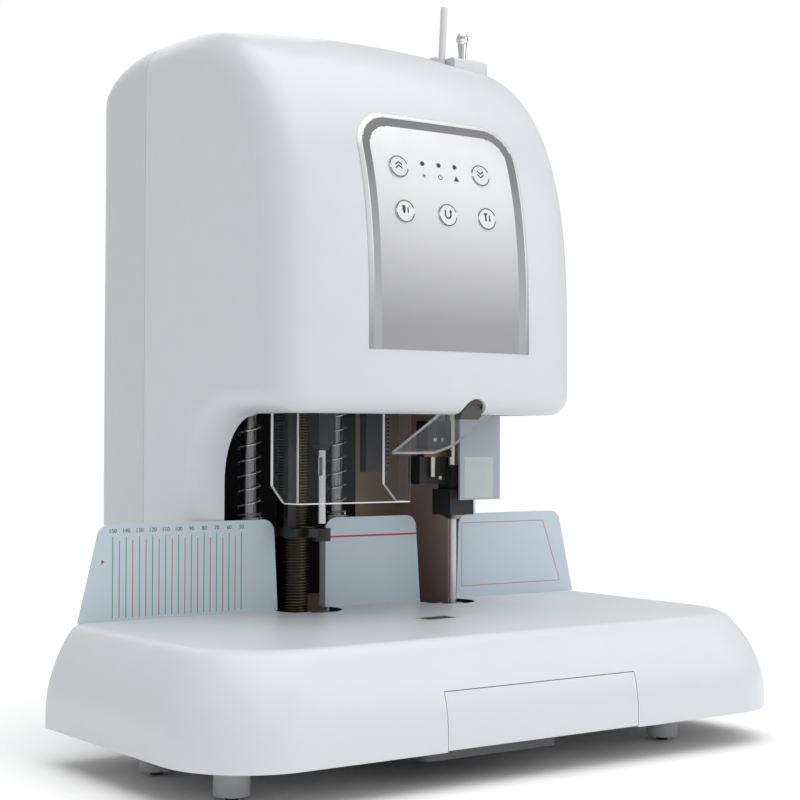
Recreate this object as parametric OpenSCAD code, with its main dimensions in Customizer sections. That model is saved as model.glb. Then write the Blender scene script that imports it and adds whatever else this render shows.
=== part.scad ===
// Document riveting machine: drills a stack of paper and closes a nylon tube through it.
// X runs to the machine's right, Y to its back and Z up. The origin is at the bottom centre.

/* [Base] */
// Width of the base at the level of the table
base_w = 436; // [420:1:460]
// Distance from the origin to the front edge of the table
base_front = 162; // [155:1:170]
// Distance from the origin to the back edge of the base
base_back = 36; // [34:0.5:38]
// Height of the base casing
base_h = 67; // [62:1:75]
// How far the sides of the base flare out below the table
base_flare = 22; // [14:1:24]
// Radius of the front corners of the base in plan
base_corner = 59; // [40:1:70]
// Wall of the moulded casings
wall = 3; // [2.5:0.1:3.5]
// Height of the table above the ground
table_z = 90; // [88:1:96]
// Thickness of the steel base plate
plate_t = 3; // [2:0.5:4]

/* [Feet] */
// Diameter of a foot
foot_d = 22; // [16:1:28]
// Diameter of a foot's lower pad
pad_d = 8; // [6:1:12]
// Height of a foot's lower pad
pad_h = 3; // [2:0.5:5]
// Distance of the left feet from the middle
foot_left = 197; // [180:1:205]
// Distance of the right feet from the middle
foot_right = 156; // [140:1:190]

/* [Guide plates] */
// Height of the guide plates above the table
guide_h = 65; // [55:1:72]
// Thickness of the guide plates
guide_t = 2; // [1.5:0.1:3]
// How far the outer ends of the guide plates lean in over their height
guide_lean = 14; // [6:1:18]
// Radius of the guide plates' upper corners
guide_r = 9; // [5:1:12]
// Half width of the gap in front of the drill
drill_gap = 21; // [19:0.5:22]
// Half width of the gap in front of the rivet tube
rivet_gap = 18; // [15:0.5:20]
// Depth of the centre plate's bent left edge
flange_w = 6; // [3:0.5:6.5]

/* [Body] */
// Width of the body
body_w = 258; // [250:1:264]
// Distance from the origin to the back of the body
body_back = 196; // [190:1:200]
// Height of the body's top edge above the ground
body_top = 501; // [495:1:510]
// How far the front of the head stands before the origin at its sides
head_front = 73; // [68:1:78]
// Bulge of the head's front and top in the middle
crown = 8.5; // [4:0.5:10]
// Radius between the body's sides and its front and top
side_r = 23; // [16:1:26]
// Radius of the head's lower front lip
lip_r = 12; // [8:1:14]
// Height of the head's underside above the table
throat_h = 140; // [138:1:146]
// Width of the rim that turns in along the throat's edge
rim_w = 14; // [8:1:16]
// Distance from the origin to the seam between the front shell and the back cover
seam_y = 113.6; // [108:0.2:120]
// Gap at the seam
seam_gap = 0.4; // [0.2:0.1:0.6]

/* [Control panel] */
// Width of the panel
panel_w = 139; // [130:1:146]
// Height of the panel
panel_h = 163; // [150:1:166]
// Distance from the panel's middle to the machine's middle
panel_x = 6.5; // [0:0.5:8]
// Height of the panel's lower edge above the ground
panel_z = 273; // [268:1:280]
// Radius of the panel's upper corners
panel_r = 27; // [10:1:30]
// Thickness of the panel
panel_t = 1.2; // [1:0.1:1.4]
// Radius of a key
key_r = 7.6; // [6:0.1:9]
// Thickness of a key
key_t = 3.4; // [3:0.1:4]
// Travel of a key
key_travel = 0.6; // [0.4:0.1:0.8]
// Gap around a key
key_gap = 0.35; // [0.3:0.05:0.5]
// Distance between the outer keys
key_span = 71; // [60:1:80]
// Height of the upper row of keys above the ground
key_row_top = 398; // [392:1:402]
// Height of the lower row of keys above the ground
key_row_low = 367; // [360:1:374]
// Radius of an indicator lens
led_r = 1.5; // [1:0.1:2]

/* [Drill] */
// Distance of the drill axis to the left of the middle
drill_x = 42; // [40:0.5:44]
// Distance of both tool axes behind the origin
tool_y = 9; // [7:0.5:10]
// Outer diameter of the hollow drill bit
bit_d = 6; // [4:0.5:7]
// Bore of the hollow drill bit
bit_bore = 3.6; // [2.5:0.1:4]
// Height of the drill's tip above the table
bit_lift = 62.5; // [60:0.5:66]
// Diameter of the guide rods
rod_d = 12; // [10:0.5:13]
// Distance between the two guide rods
rod_span = 74; // [70:1:78]
// Distance of the guide rods and the lift screw behind the origin
rod_y = 48; // [47:0.5:50]
// Diameter of the lift screw
lift_d = 24; // [18:1:25]
// Thickness of the drill carriage's plate
carriage_t = 12; // [10:1:14]
// Diameter of the drill motor
drill_motor_d = 36; // [30:1:37]
// Height of the drill motor
drill_motor_h = 75; // [60:1:80]
// Radial clearance of a sliding or turning fit
fit_gap = 0.08; // [0.05:0.01:0.1]
// Clearance where pieces pass each other
free_gap = 0.35; // [0.3:0.05:0.5]

/* [Presser] */
// Height of the presser ring above the table
presser_lift = 50; // [48:1:52]
// Height of the presser ring
presser_h = 9; // [8:0.5:10]
// Outer diameter of the presser ring
presser_d = 13; // [12:0.5:15]
// Wire of the presser springs
spring_wire = 1.4; // [1.2:0.1:2]
// Mean diameter of the presser springs
spring_d = 17; // [15.5:0.1:18]
// Pitch of the springs' open coils
spring_pitch = 10.5; // [9:0.5:12]

/* [Rivet head] */
// Distance of the rivet axis to the right of the middle
rivet_x = 76; // [74:0.5:78]
// Diameter of the guide needle in the rivet head
needle_d = 5.3; // [4.5:0.1:5.6]
// Diameter of the press ram
ram_d = 12; // [11:0.5:14]
// Height of the rivet head's lower end above the table
rivet_lift = 62.6; // [62:0.1:66]
// Side of the heater block
heater_w = 22; // [20:1:24]
// Diameter of the press screw
press_d = 12; // [10:1:14]
// Distance of the press screw behind the origin
press_y = 46; // [45:0.5:48]

/* [Table insert] */
// Radius of the table's opening at the drill
drill_hole_r = 24.5; // [22:0.5:26]
// Radius of the table's opening at the rivet tube
rivet_hole_r = 21; // [18:0.5:22]
// Radius of the drilling pad
drill_pad_r = 7; // [5:0.5:7]
// Radius of the lower die
die_r = 8; // [6:0.5:9]

/* [Guards] */
// Thickness of the clear guards
guard_t = 2; // [1.5:0.1:2.5]
// Width of the clear guard round the drill
guard_w = 97; // [90:1:98]
// Depth of the clear guard's wings
guard_d = 34; // [30:1:34]
// Height of the guards' lower edge above the table
guard_lift = 78; // [76:1:84]
// Width of the hinged clear flap
flap_w = 48; // [40:1:48]
// Length of the hinged clear flap
flap_len = 74; // [60:1:75]
// Slope of the hinged flap at rest
flap_slope = 26; // [20:1:28]
// Width of the hot guard plate
shield_w = 38; // [30:1:38]

/* [Feed] */
// Outer diameter of the nylon tube
tube_d = 5.2; // [4.5:0.1:5.4]
// Bore of the nylon tube
tube_bore = 4; // [3:0.1:4.2]
// Length of the nylon tube
tube_len = 112; // [100:1:120]
// Height of the nylon tube's top above the ground
tube_top = 539; // [535:1:545]
// Lean of the nylon tube to the right
tube_lean = 3.2; // [2:0.1:4]
// Height of the feed boss's top above the ground
boss_top = 500; // [498:0.5:502]
// Diameter of the lever's knob
knob_d = 10; // [8:0.5:12]

/* [Chip drawer] */
// Left end of the drawer front
drawer_left = -76; // [-80:1:-70]
// Right end of the drawer front
drawer_right = 82; // [76:1:86]
// Height of the drawer front's upper edge above the ground
drawer_top = 59; // [56:1:60]
// Gap around the drawer front
drawer_gap = 0.5; // [0.4:0.1:0.8]
// Depth of the drawer's tray
tray_len = 148; // [120:1:150]

/* [Hidden] */
$fn = 48;

// The places that follow from the sizes above.
floor_z = table_z - base_h;
plate_top = floor_z + plate_t;
half_w = body_w / 2;
under_z = table_z + throat_h;
column_y = base_back;
guide_y = column_y - guide_t;
plate_half = half_w - wall - rim_w - 1;
keys_x = panel_x - 4;
flare_end = 0.85;
flare_power = 0.75;
base_steps = 7;
corner_steps = 10;

// The head's side outline: an arch in front, a flat top and a rounded back corner.
arch_y = 94;
arch_z = 280;
arch_n = 2.75;
arch_steps = 12;
heel_y = 118;
heel_z = 465;
heel_n = 2.3;
heel_steps = 6;
lip_z = under_z + lip_r;
throat_a = 48;
throat_b = 50;
throat_n = 2.2;

// The frame inside the body.
frame_x = 100;
frame_t = 4;
frame_front = 46;
frame_end = 112;
deck_z = 440;
deck_t = 4;
deck_front = 28;
motor_d = 44;
press_motor_d = 32;
motor_h = 50;

// Heights of the moving pieces at rest.
carriage_z = under_z + 8;
yoke_t = 7;
yoke_z = table_z + presser_lift + presser_h - yoke_t;
bush_d = 22;
bush_over = 4;
yoke_top = yoke_z + yoke_t + bush_over;
bar_x = [-drill_x - 20, -drill_x - 13];
bar_y = [tool_y + 13, tool_y + 19];
bar_top = 300;
seat_t = 3;
block_w = 14;
block_z = table_z + 118.6;
collar_z = table_z + 114.6;
bit_top = collar_z + 14;
cap_h = 3.4;
cap_z = table_z + rivet_lift;
heater_z = cap_z + cap_h;
heater_h = 19;
neck_h = 18;
neck_w = 16;
ram_z = heater_z + heater_h + neck_h;
crosshead_z = 320;
crosshead_t = 10;
housing_z = under_z + 6;
housing_t = 20;
lifter_z = crosshead_z + crosshead_t + 4;
lifter_t = 6;
rack_x = 20;
rack_w = 21;
rack_t = 8;
rack_z = table_z + 98;
rack_pitch = 3;

// Feed and lever.
feed_x = 69;
feed_y = 16;
lever_x = 89;
lever_pivot_z = 466;
boss_x = [58, 108];
boss_half = 12;
boss_floor = 486;
boss_r = 8;
knob_rise = 17.5;
knob_low = boss_top - lever_pivot_z;
boss_gap = 0.05;
slot_half = 6.2;
tab_x = 27.5;
tab_r = 8.8;
tab_reach = 11.5;
tab_low = under_z - 3.5;
notch_r = 11.2;
rocker_out = 3.2;
centre_y = (base_front + base_flare - body_back - rocker_out) / 2;
cutter_z = 424;

module prism_x(x0, x1) {
    translate([x0, 0, 0]) rotate([90, 0, 90]) linear_extrude(x1 - x0) children();
}

module box(low, high) {
    translate(low) cube(high - low);
}

module rod(x, y, z0, z1, r) {
    translate([x, y, z0]) cylinder(h = z1 - z0, r = r);
}

// ---------- base ----------

function flare_at(s) = base_flare * pow(sin(90 * min(1, s / flare_end)), flare_power);

function base_points(grow) = let (
    half = base_w / 2 + grow,
    front = -base_front - grow,
    r = base_corner
) concat(
    [for (i = [0:corner_steps]) let (a = 180 + 90 * i / corner_steps)
        [-half + r + r * cos(a), front + r + r * sin(a)]],
    [for (i = [0:corner_steps]) let (a = 270 + 90 * i / corner_steps)
        [half - r + r * cos(a), front + r + r * sin(a)]],
    [[half, base_back], [-half, base_back]]
);

// A closed solid through rings of equally many points, with flat ends.
module loft(rings) {
    m = len(rings[0]);
    last = len(rings) - 1;
    points = [for (ring = rings) for (p = ring) p];
    faces = concat(
        [for (i = [0:last - 1], k = [0:m - 1]) let (n = (k + 1) % m) [i * m + k, i * m + n, (i + 1) * m + n]],
        [for (i = [0:last - 1], k = [0:m - 1]) let (n = (k + 1) % m) [i * m + k, (i + 1) * m + n, (i + 1) * m + k]],
        [for (k = [1:m - 2]) [0, k + 1, k]],
        [for (k = [1:m - 2]) [last * m, last * m + k, last * m + k + 1]]
    );
    polyhedron(points, faces, convexity = 6);
}

module base_form(inset) {
    top = table_z - inset;
    loft([for (i = [0:base_steps]) let (s = i / base_steps)
        [for (p = base_points(flare_at(s) - inset)) [p[0], p[1], top - (top - floor_z) * s]]]);
}

module drawer_window(gap) {
    box([drawer_left - gap, -base_front - base_flare - 5, floor_z - 1],
        [drawer_right + gap, -base_front + base_corner, drawer_top + gap]);
}

module table_holes() {
    rod(-drill_x, tool_y + 17, table_z - wall - 1, table_z + 1, drill_hole_r);
    rod(rivet_x + 3, tool_y + 11, table_z - wall - 1, table_z + 1, rivet_hole_r);
}

module base_casing() {
    color("whitesmoke") difference() {
        base_form(0);
        difference() {
            base_form(wall);
            box([-base_w, base_back - wall, 0], [base_w, base_back + 1, table_z]);
        }
        box([-base_w, -base_w, floor_z - 5], [base_w, base_back - wall, floor_z + 0.1]);
        drawer_window(drawer_gap);
        table_holes();
        // The back wall is open where the column's frame comes down to the base plate.
        box([-half_w + 8, base_back - wall - 1, floor_z - 1], [half_w - 8, base_back + 1, table_z - 14]);
    }
}

module base_plate() {
    reach = base_flare - wall - 0.4;
    color("darkgray") difference() {
        union() {
            translate([0, 0, floor_z]) linear_extrude(plate_t) intersection() {
                polygon(base_points(reach));
                translate([-base_w, -base_w]) square([2 * base_w, base_w + base_back - wall - 0.4]);
            }
            box([-plate_half, base_back - wall - 1, floor_z], [plate_half, body_back - side_r - wall, plate_top]);
            box([-half_w + side_r, body_back - side_r - wall - 1, floor_z],
                [half_w - side_r, body_back - wall - 0.4, plate_top]);
        }
        for (x = rods_x()) rod(x, rod_y, floor_z - 1, plate_top + 1, rod_d / 2 + 0.02);
        rod(-drill_x, rod_y, floor_z - 1, plate_top + 1, 5 + fit_gap);
    }
}

module under_tray() {
    r = 6;
    color("dimgray") translate([0, 0, floor_z - 6]) linear_extrude(6) hull() {
        for (x = [-88 + r, 19 - r], y = [-176 + r, -96]) translate([x, y]) circle(r, $fn = 32);
    }
}

function foot_places() = [
    [-foot_left, -131], [-foot_left, -37],
    [foot_right, -131], [foot_right, -37],
    [-half_w + 29, body_back - 19], [half_w - 29, body_back - 19]
];

module feet() {
    color("slategray") for (p = foot_places()) rod(p[0], p[1], pad_h, floor_z, foot_d / 2);
}

module foot_pads() {
    color("darkslategray") for (p = foot_places()) rod(p[0], p[1], 0, pad_h, pad_d / 2);
}

// ---------- guide plates ----------

module guide_plate(x0, x1, lean0, lean1) {
    translate([0, guide_y + guide_t, table_z]) rotate([90, 0, 0]) linear_extrude(guide_t) hull() {
        translate([x0, 0]) square([x1 - x0, 0.1]);
        translate([x0 + lean0 + guide_r, guide_h - guide_r]) circle(guide_r, $fn = 32);
        translate([x1 - lean1 - guide_r, guide_h - guide_r]) circle(guide_r, $fn = 32);
    }
}

module guide_plate_left() {
    color("lightsteelblue") guide_plate(-base_w / 2, -drill_x - drill_gap, guide_lean, 3);
}

module guide_plate_centre() {
    left = -drill_x + drill_gap - 1;
    color("lightsteelblue") {
        guide_plate(left, rivet_x - rivet_gap + 6, 0, 4);
        box([left, guide_y, table_z], [left + guide_t, guide_y + guide_t + flange_w, table_z + guide_h - guide_r - 2]);
    }
}

module guide_plate_right() {
    color("lightsteelblue") guide_plate(rivet_x + rivet_gap + 5, base_w / 2, 2, guide_lean);
}

// ---------- body shells ----------

function crown_at(x) = crown * (1 - pow(x / half_w, 2));

function body_points(inset, lift) = let (
    a = arch_y + head_front + lift - inset,
    b = body_top - arch_z + lift - inset,
    ha = body_back - heel_y - inset,
    hb = body_top - heel_z + lift - inset,
    lr = lip_r - inset / 3,
    front = arch_y - a
) concat(
    [for (i = [0:4]) let (t = 90 - 90 * i / 4) [front + lr - lr * cos(t), lip_z - lr * sin(t)]],
    [for (i = [0:arch_steps]) let (t = 90 * i / arch_steps)
        [arch_y - a * pow(cos(t), 2 / arch_n), arch_z + b * pow(sin(t), 2 / arch_n)]],
    [for (i = [0:heel_steps]) let (t = 90 - 90 * i / heel_steps)
        [heel_y + ha * pow(cos(t), 2 / heel_n), heel_z + hb * pow(sin(t), 2 / heel_n)]],
    [[body_back - inset, floor_z], [column_y - 20, floor_z]]
);

function body_ring(x, inset) = [for (p = body_points(inset, crown_at(x))) [x, p[0], p[1]]];

// The outer form of the body, drawn in by an even inset for its walls.
module body_form(inset) {
    r = side_r - inset;
    edge = half_w - inset - r;
    loft(concat(
        [for (i = [5:-1:0]) body_ring(-edge - r * sin(18 * i), inset + r * (1 - cos(18 * i)))],
        [for (i = [-2:2]) body_ring(edge * i / 3, inset)],
        [for (i = [0:5]) body_ring(edge + r * sin(18 * i), inset + r * (1 - cos(18 * i)))]
    ));
}

function throat_points(grow) = let (
    cy = column_y - throat_a,
    cz = under_z - throat_b,
    a = throat_a + grow,
    b = throat_b + grow
) concat(
    [[-200, floor_z - 5], [column_y + grow, floor_z - 5]],
    [for (i = [0:10]) let (t = 9 * i) [cy + a * pow(cos(t), 2 / throat_n), cz + b * pow(sin(t), 2 / throat_n)]],
    [[-200, under_z + grow]]
);

module throat_rims() {
    intersection() {
        body_form(wall / 2);
        for (side = [0, 1]) mirror([side, 0, 0])
            prism_x(half_w - wall - rim_w, half_w - 1) difference() {
                polygon(throat_points(wall));
                polygon(throat_points(0));
                translate([-200, 0]) square([400, floor_z]);
            }
    }
}

module panel_outline(gap) {
    half = panel_w / 2 + gap;
    translate([panel_x, 0]) polygon(concat(
        [[-half, panel_z - gap], [half, panel_z - gap]],
        [for (i = [0:8]) let (a = 90 * i / 8)
            [half - panel_r + panel_r * cos(a), panel_z + panel_h + gap - panel_r + panel_r * sin(a)]],
        [for (i = [0:8]) let (a = 90 + 90 * i / 8)
            [-half + panel_r + panel_r * cos(a), panel_z + panel_h + gap - panel_r + panel_r * sin(a)]]
    ));
}

module panel_prism(gap) {
    translate([0, 20, 0]) rotate([90, 0, 0]) linear_extrude(120) panel_outline(gap);
}

// Where the middle of the panel's face lies, and how far it leans back.
function face_y(x, z) = let (
    a = arch_y + head_front + crown_at(x),
    b = body_top - arch_z + crown_at(x),
    v = max(0, (z - arch_z) / b)
) arch_y - a * pow(1 - pow(v, arch_n), 1 / arch_n);
function face_lean(x, z) = atan((face_y(x, z + 1) - face_y(x, z - 1)) / 2);

module on_face(x, z) {
    translate([x, face_y(x, z), z]) rotate([90 - face_lean(x, z), 0, 0]) children();
}

function key_places() = [
    [keys_x - key_span / 2, key_row_top], [keys_x + key_span / 2, key_row_top],
    [keys_x - key_span / 2 + 1, key_row_low], [keys_x + 1.5, key_row_low], [keys_x + key_span / 2 + 1, key_row_low]
];
function led_places() = [for (i = [-1:1]) [keys_x - 1 + 14 * i, key_row_top + 4]];

module key_holes() {
    for (p = key_places()) on_face(p[0], p[1])
        translate([0, 0, -wall - 6]) cylinder(h = wall + 10, r = key_r + key_gap);
}

module front_shell() {
    color("white") {
        difference() {
            body_form(0);
            translate([0, 0, -0.05]) body_form(wall);
            box([-half_w, column_y, floor_z - 1], [half_w, body_back, floor_z + 0.1]);
            prism_x(-half_w - 1, half_w + 1) polygon(throat_points(0));
            box([-half_w - 1, seam_y - seam_gap / 2, 0], [half_w + 1, body_back + 1, body_top + 20]);
            intersection() {
                panel_prism(0.2);
                difference() {
                    translate([0, -6, 0]) body_form(0);
                    body_form(panel_t + 0.4);
                }
            }
            key_holes();
            // The finger notch in the lower lip, and the opening for the feed boss.
            translate([tab_x, -head_front - crown - 6, under_z])
                rotate([-90, 0, 0]) cylinder(h = 25, r = notch_r);
            boss_block(boss_gap, boss_floor - 20, boss_top + 12);
        }
        throat_rims();
    }
}

module back_cover() {
    color("gainsboro") difference() {
        intersection() {
            body_form(0);
            box([-half_w - 1, seam_y + seam_gap / 2, 0], [half_w + 1, body_back + 1, body_top + 20]);
        }
        translate([0, 0, -0.05]) body_form(wall);
        box([-half_w, column_y, floor_z - 1], [half_w, body_back - wall, floor_z + 0.1]);
        // Cooling slots, the fan's openings and the power openings.
        for (i = [0:8]) box([-44, body_back - wall - 2, 330 + 9 * i], [44, body_back + 1, 333.4 + 9 * i]);
        for (i = [0:5]) let (h = sqrt(pow(25, 2) - pow(-20 + 8 * i, 2)))
            box([58 - h, body_back - wall - 2, 218 + 8 * i], [58 + h, body_back + 1, 222 + 8 * i]);
        box([-84 - 0.3, body_back - wall - 2, 62 - 0.3], [-56 + 0.3, body_back + 1, 82 + 0.3]);
        box([-46 - 0.3, body_back - wall - 2, 62 - 0.3], [-31 + 0.3, body_back + 1, 83 + 0.3]);
        for (p = screw_places()) rod_y(p[0], p[1], body_back - wall - 2, body_back + 1, 1.7);
    }
}

function screw_places() = [for (x = [-100, 100], z = [60, 210, 380]) [x, z]];

module rod_y(x, z, y0, y1, r) {
    translate([x, y0, z]) rotate([-90, 0, 0]) cylinder(h = y1 - y0, r = r);
}

module case_screws() {
    color("silver") for (p = screw_places()) {
        rod_y(p[0], p[1], body_back - wall - 1.5, body_back + 0.1, 1.6);
        difference() {
            rod_y(p[0], p[1], body_back, body_back + 1.4, 3.2);
            box([p[0] - 2, body_back + 0.7, p[1] - 0.4], [p[0] + 2, body_back + 2, p[1] + 0.4]);
            box([p[0] - 0.4, body_back + 0.7, p[1] - 2], [p[0] + 0.4, body_back + 2, p[1] + 2]);
        }
    }
}

// ---------- control panel ----------

module control_panel() {
    color("silver") difference() {
        intersection() {
            panel_prism(0);
            difference() {
                body_form(0.4);
                body_form(panel_t + 0.4);
            }
        }
        key_holes();
        for (p = led_places()) on_face(p[0], p[1]) translate([0, 0, -wall]) cylinder(h = wall + 2, r = led_r + 0.1);
    }
}

module led_lenses() {
    color("black") for (p = led_places()) on_face(p[0], p[1]) intersection() {
        translate([0, 0, -1.2]) cylinder(h = 1.6, r = led_r);
        translate([0, 0, 0.4 - 4]) sphere(4);
    }
}

module panel_key(i) {
    p = key_places()[i];
    color("silver") on_face(p[0], p[1]) translate([0, 0, -key_t]) cylinder(h = key_t + 0.1, r = key_r);
}

module key_up() { panel_key(0); }
module key_down() { panel_key(1); }
module key_drill() { panel_key(2); }
module key_reset() { panel_key(3); }
module key_rivet() { panel_key(4); }

// ---------- frame ----------

function rods_x() = [-drill_x - rod_span / 2, -drill_x + rod_span / 2];

module frame_side(x0, x1) {
    prism_x(x0, x1) polygon([
        [frame_front, plate_top], [frame_end, plate_top], [frame_end, deck_z],
        [-34, deck_z], [-62, 330], [-62, housing_z], [frame_front, housing_z]
    ]);
}

module frame_left() {
    color("saddlebrown") frame_side(-frame_x - frame_t, -frame_x);
}

module frame_right() {
    color("saddlebrown") frame_side(frame_x, frame_x + frame_t);
}

module frame_back() {
    color("tan") box([-frame_x - frame_t, frame_end, plate_top], [frame_x + frame_t, frame_end + 1.2, deck_z]);
}

module top_deck() {
    color("gray") difference() {
        box([-frame_x - frame_t, deck_front, deck_z], [frame_x + frame_t, frame_end, deck_z + deck_t]);
        for (x = rods_x()) rod(x, rod_y, deck_z - 1, deck_z + deck_t + 1, rod_d / 2 + 0.02);
        rod(-drill_x, rod_y, deck_z - 1, deck_z + deck_t + 1, 5 + fit_gap);
        rod(rivet_x, press_y, deck_z - 1, deck_z + deck_t + 1, 4 + fit_gap);
    }
}

module guide_rods() {
    color("lightgray") for (x = rods_x()) {
        rod(x, rod_y, floor_z, deck_z + deck_t, rod_d / 2);
        rod(x, rod_y, seat_z, seat_z + seat_t, bush_d / 2);
    }
}

module motor(x, y, z, d, h) {
    difference() {
        rod(x, y, z, z + h, d / 2);
        for (a = [0:60:300]) translate([x + (d / 2 + 1) * cos(a), y + (d / 2 + 1) * sin(a), z + 8])
            cylinder(h = h - 16, r = 2.4);
    }
}

module lift_motor() {
    color("dimgray") difference() {
        motor(-drill_x, rod_y, deck_z + deck_t, motor_d, motor_h);
        rod(-drill_x, rod_y, deck_z, deck_z + deck_t + 12, 5 + fit_gap);
    }
}

module press_motor() {
    color("dimgray") difference() {
        motor(rivet_x, press_y, deck_z + deck_t, press_motor_d, motor_h - 2);
        rod(rivet_x, press_y, deck_z, deck_z + deck_t + 12, 4 + fit_gap);
    }
}

// ---------- drill ----------

module drill_carriage() {
    color("#26262a") difference() {
        union() {
            box([rods_x()[0] - 14, 20, carriage_z], [rods_x()[1] + 14, rod_y + 18, carriage_z + carriage_t]);
            box([-drill_x - block_w / 2 - 12, tool_y - 14, carriage_z],
                [-drill_x + block_w / 2 + 12, 24, carriage_z + carriage_t]);
            box([-drill_x - block_w / 2, tool_y - block_w / 2, block_z],
                [-drill_x + block_w / 2, tool_y + block_w / 2, carriage_z + 1]);
            for (x = rods_x()) rod(x, rod_y, carriage_z, carriage_z + carriage_t + 12, bush_d / 2);
            rod(-drill_x, rod_y, carriage_z, carriage_z + carriage_t + 10, lift_d / 2 + 6);
        }
        for (x = rods_x()) rod(x, rod_y, block_z, carriage_z + 60, rod_d / 2 + fit_gap);
        rod(-drill_x, rod_y, block_z, carriage_z + 60, lift_d / 2 + free_gap);
        box([bar_x[0] - free_gap, bar_y[0] - free_gap, carriage_z - 1],
            [bar_x[1] + free_gap, bar_y[1] + free_gap, carriage_z + carriage_t + 1]);
        rod(-drill_x, tool_y, block_z - 1, carriage_z + carriage_t + 1, 5 + fit_gap);
    }
}

module drill_motor() {
    color("gray") difference() {
        motor(-drill_x, tool_y, carriage_z + carriage_t, drill_motor_d, drill_motor_h);
        rod(-drill_x, tool_y, carriage_z, carriage_z + carriage_t + 20, 5 + fit_gap);
    }
}

module spindle() {
    color("dimgray") difference() {
        union() {
            rod(-drill_x, tool_y, block_z - free_gap, carriage_z + carriage_t + 18, 5);
            translate([-drill_x, tool_y, collar_z]) cylinder(h = block_z - collar_z - free_gap + 0.05, r1 = 4.6, r2 = 7);
        }
        rod(-drill_x, tool_y, collar_z - 1, bit_top, bit_d / 2 + 0.02);
    }
}

module drill_bit() {
    color("silver") difference() {
        rod(-drill_x, tool_y, table_z + bit_lift, bit_top, bit_d / 2);
        rod(-drill_x, tool_y, table_z + bit_lift - 1, bit_top - 4, bit_bore / 2);
        translate([-drill_x, tool_y, table_z + bit_lift - 0.01])
            cylinder(h = 1.2, r1 = bit_d / 2 - 0.2, r2 = bit_bore / 2 - 0.3);
        box([-drill_x - bit_d, tool_y - bit_d, collar_z - 18], [-drill_x - 0.9, tool_y, collar_z - 5]);
    }
}

module presser_foot() {
    color("#202022") difference() {
        union() {
            for (x = rods_x()) rod(x, rod_y, yoke_z, yoke_top, bush_d / 2);
            box([rods_x()[0], rod_y - 5 - lift_d / 2 + 12, yoke_z], [rods_x()[1], rod_y + 5, yoke_z + yoke_t]);
            rod(-drill_x, rod_y, yoke_z, yoke_z + yoke_t, lift_d / 2 + 5);
            box([-drill_x - 13, tool_y - 4, yoke_z + 1], [-drill_x - 6, rod_y - lift_d / 2 - 1, yoke_z + yoke_t]);
            box([-drill_x - 9, tool_y - 4, yoke_z + 1], [-drill_x, tool_y + 4, yoke_z + yoke_t - 1]);
            rod(-drill_x, tool_y, table_z + presser_lift, table_z + presser_lift + presser_h, presser_d / 2);
            box([bar_x[0], bar_y[0], yoke_z], [bar_x[1], bar_y[1], bar_top]);
            box([bar_x[0], bar_y[0], yoke_z + 1], [bar_x[1], rod_y - lift_d / 2 - 1, yoke_z + yoke_t]);
            box([bar_x[0], tool_y + 4, yoke_z + 1], [-drill_x - 6, bar_y[1], yoke_z + yoke_t]);
        }
        for (x = rods_x()) rod(x, rod_y, yoke_z - 1, yoke_top + 1, rod_d / 2 + fit_gap);
        rod(-drill_x, rod_y, yoke_z - 1, yoke_top + 1, lift_d / 2 + free_gap);
        rod(-drill_x, tool_y, table_z, yoke_top + 9, bit_d / 2 + free_gap);
    }
}

// A spring is one unbroken tube: a closed coil at each end and open coils between.
seat_z = yoke_top + free_gap;
spring_low = seat_z + seat_t;
spring_high = carriage_z;
spring_end_pitch = spring_wire + 0.6;
spring_rise = spring_high - spring_low - spring_wire;
spring_open = (spring_rise - 2 * spring_end_pitch) / spring_pitch;
spring_turns = spring_open + 2;
spring_rings = round(8 * spring_turns);

function spring_climb(t) =
    t < 1 ? spring_end_pitch * t
    : t > spring_turns - 1 ? spring_rise - spring_end_pitch * (spring_turns - t)
    : spring_end_pitch + (spring_rise - 2 * spring_end_pitch) * (t - 1) / spring_open;
function spring_point(t) = [
    spring_d / 2 * cos(360 * t), spring_d / 2 * sin(360 * t), spring_low + spring_wire / 2 + spring_climb(t)
];
function spring_path() = concat(
    [spring_point(0) - [0, spring_wire, 0]],
    [for (i = [0:spring_rings]) spring_point(spring_turns * i / spring_rings)],
    [spring_point(spring_turns) + spring_wire * [-sin(360 * spring_turns), cos(360 * spring_turns), 0]]
);
function unit(v) = v / norm(v);
function heading(path, i) = unit(path[min(i + 1, len(path) - 1)] - path[max(i - 1, 0)]);

module tube_along(path, r, sides) {
    last = len(path) - 1;
    points = [for (i = [0:last]) let (
            h = heading(path, i),
            n = unit(cross(h, [0, 0, 1])),
            b = cross(n, h)
        ) for (k = [0:sides - 1]) let (a = 360 * k / sides) path[i] + r * (cos(a) * n + sin(a) * b)];
    faces = concat(
        [for (i = [0:last - 1], k = [0:sides - 1]) let (m = (k + 1) % sides)
            [i * sides + k, i * sides + m, (i + 1) * sides + m]],
        [for (i = [0:last - 1], k = [0:sides - 1]) let (m = (k + 1) % sides)
            [i * sides + k, (i + 1) * sides + m, (i + 1) * sides + k]],
        [for (k = [1:sides - 2]) [0, k + 1, k]],
        [for (k = [1:sides - 2]) [last * sides, last * sides + k, last * sides + k + 1]]
    );
    polyhedron(points, faces, convexity = 10);
}

module presser_springs() {
    path = spring_path();
    gaps = [for (i = [0:len(path) - 1], j = [i + 5:len(path) - 1]) if (j < len(path)) norm(path[i] - path[j])];
    echo(least_spring_gap = min(gaps) - spring_wire);
    color("silver") for (x = rods_x()) translate([x, rod_y, 0]) tube_along(path, spring_wire / 2, 6);
}

module lift_screw() {
    color("#4a3a28") {
        rod(-drill_x, rod_y, plate_top + 0.3, deck_z - 0.3, lift_d / 2);
        rod(-drill_x, rod_y, floor_z, deck_z + deck_t + 10, 5);
    }
}

// ---------- rivet head ----------

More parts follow.
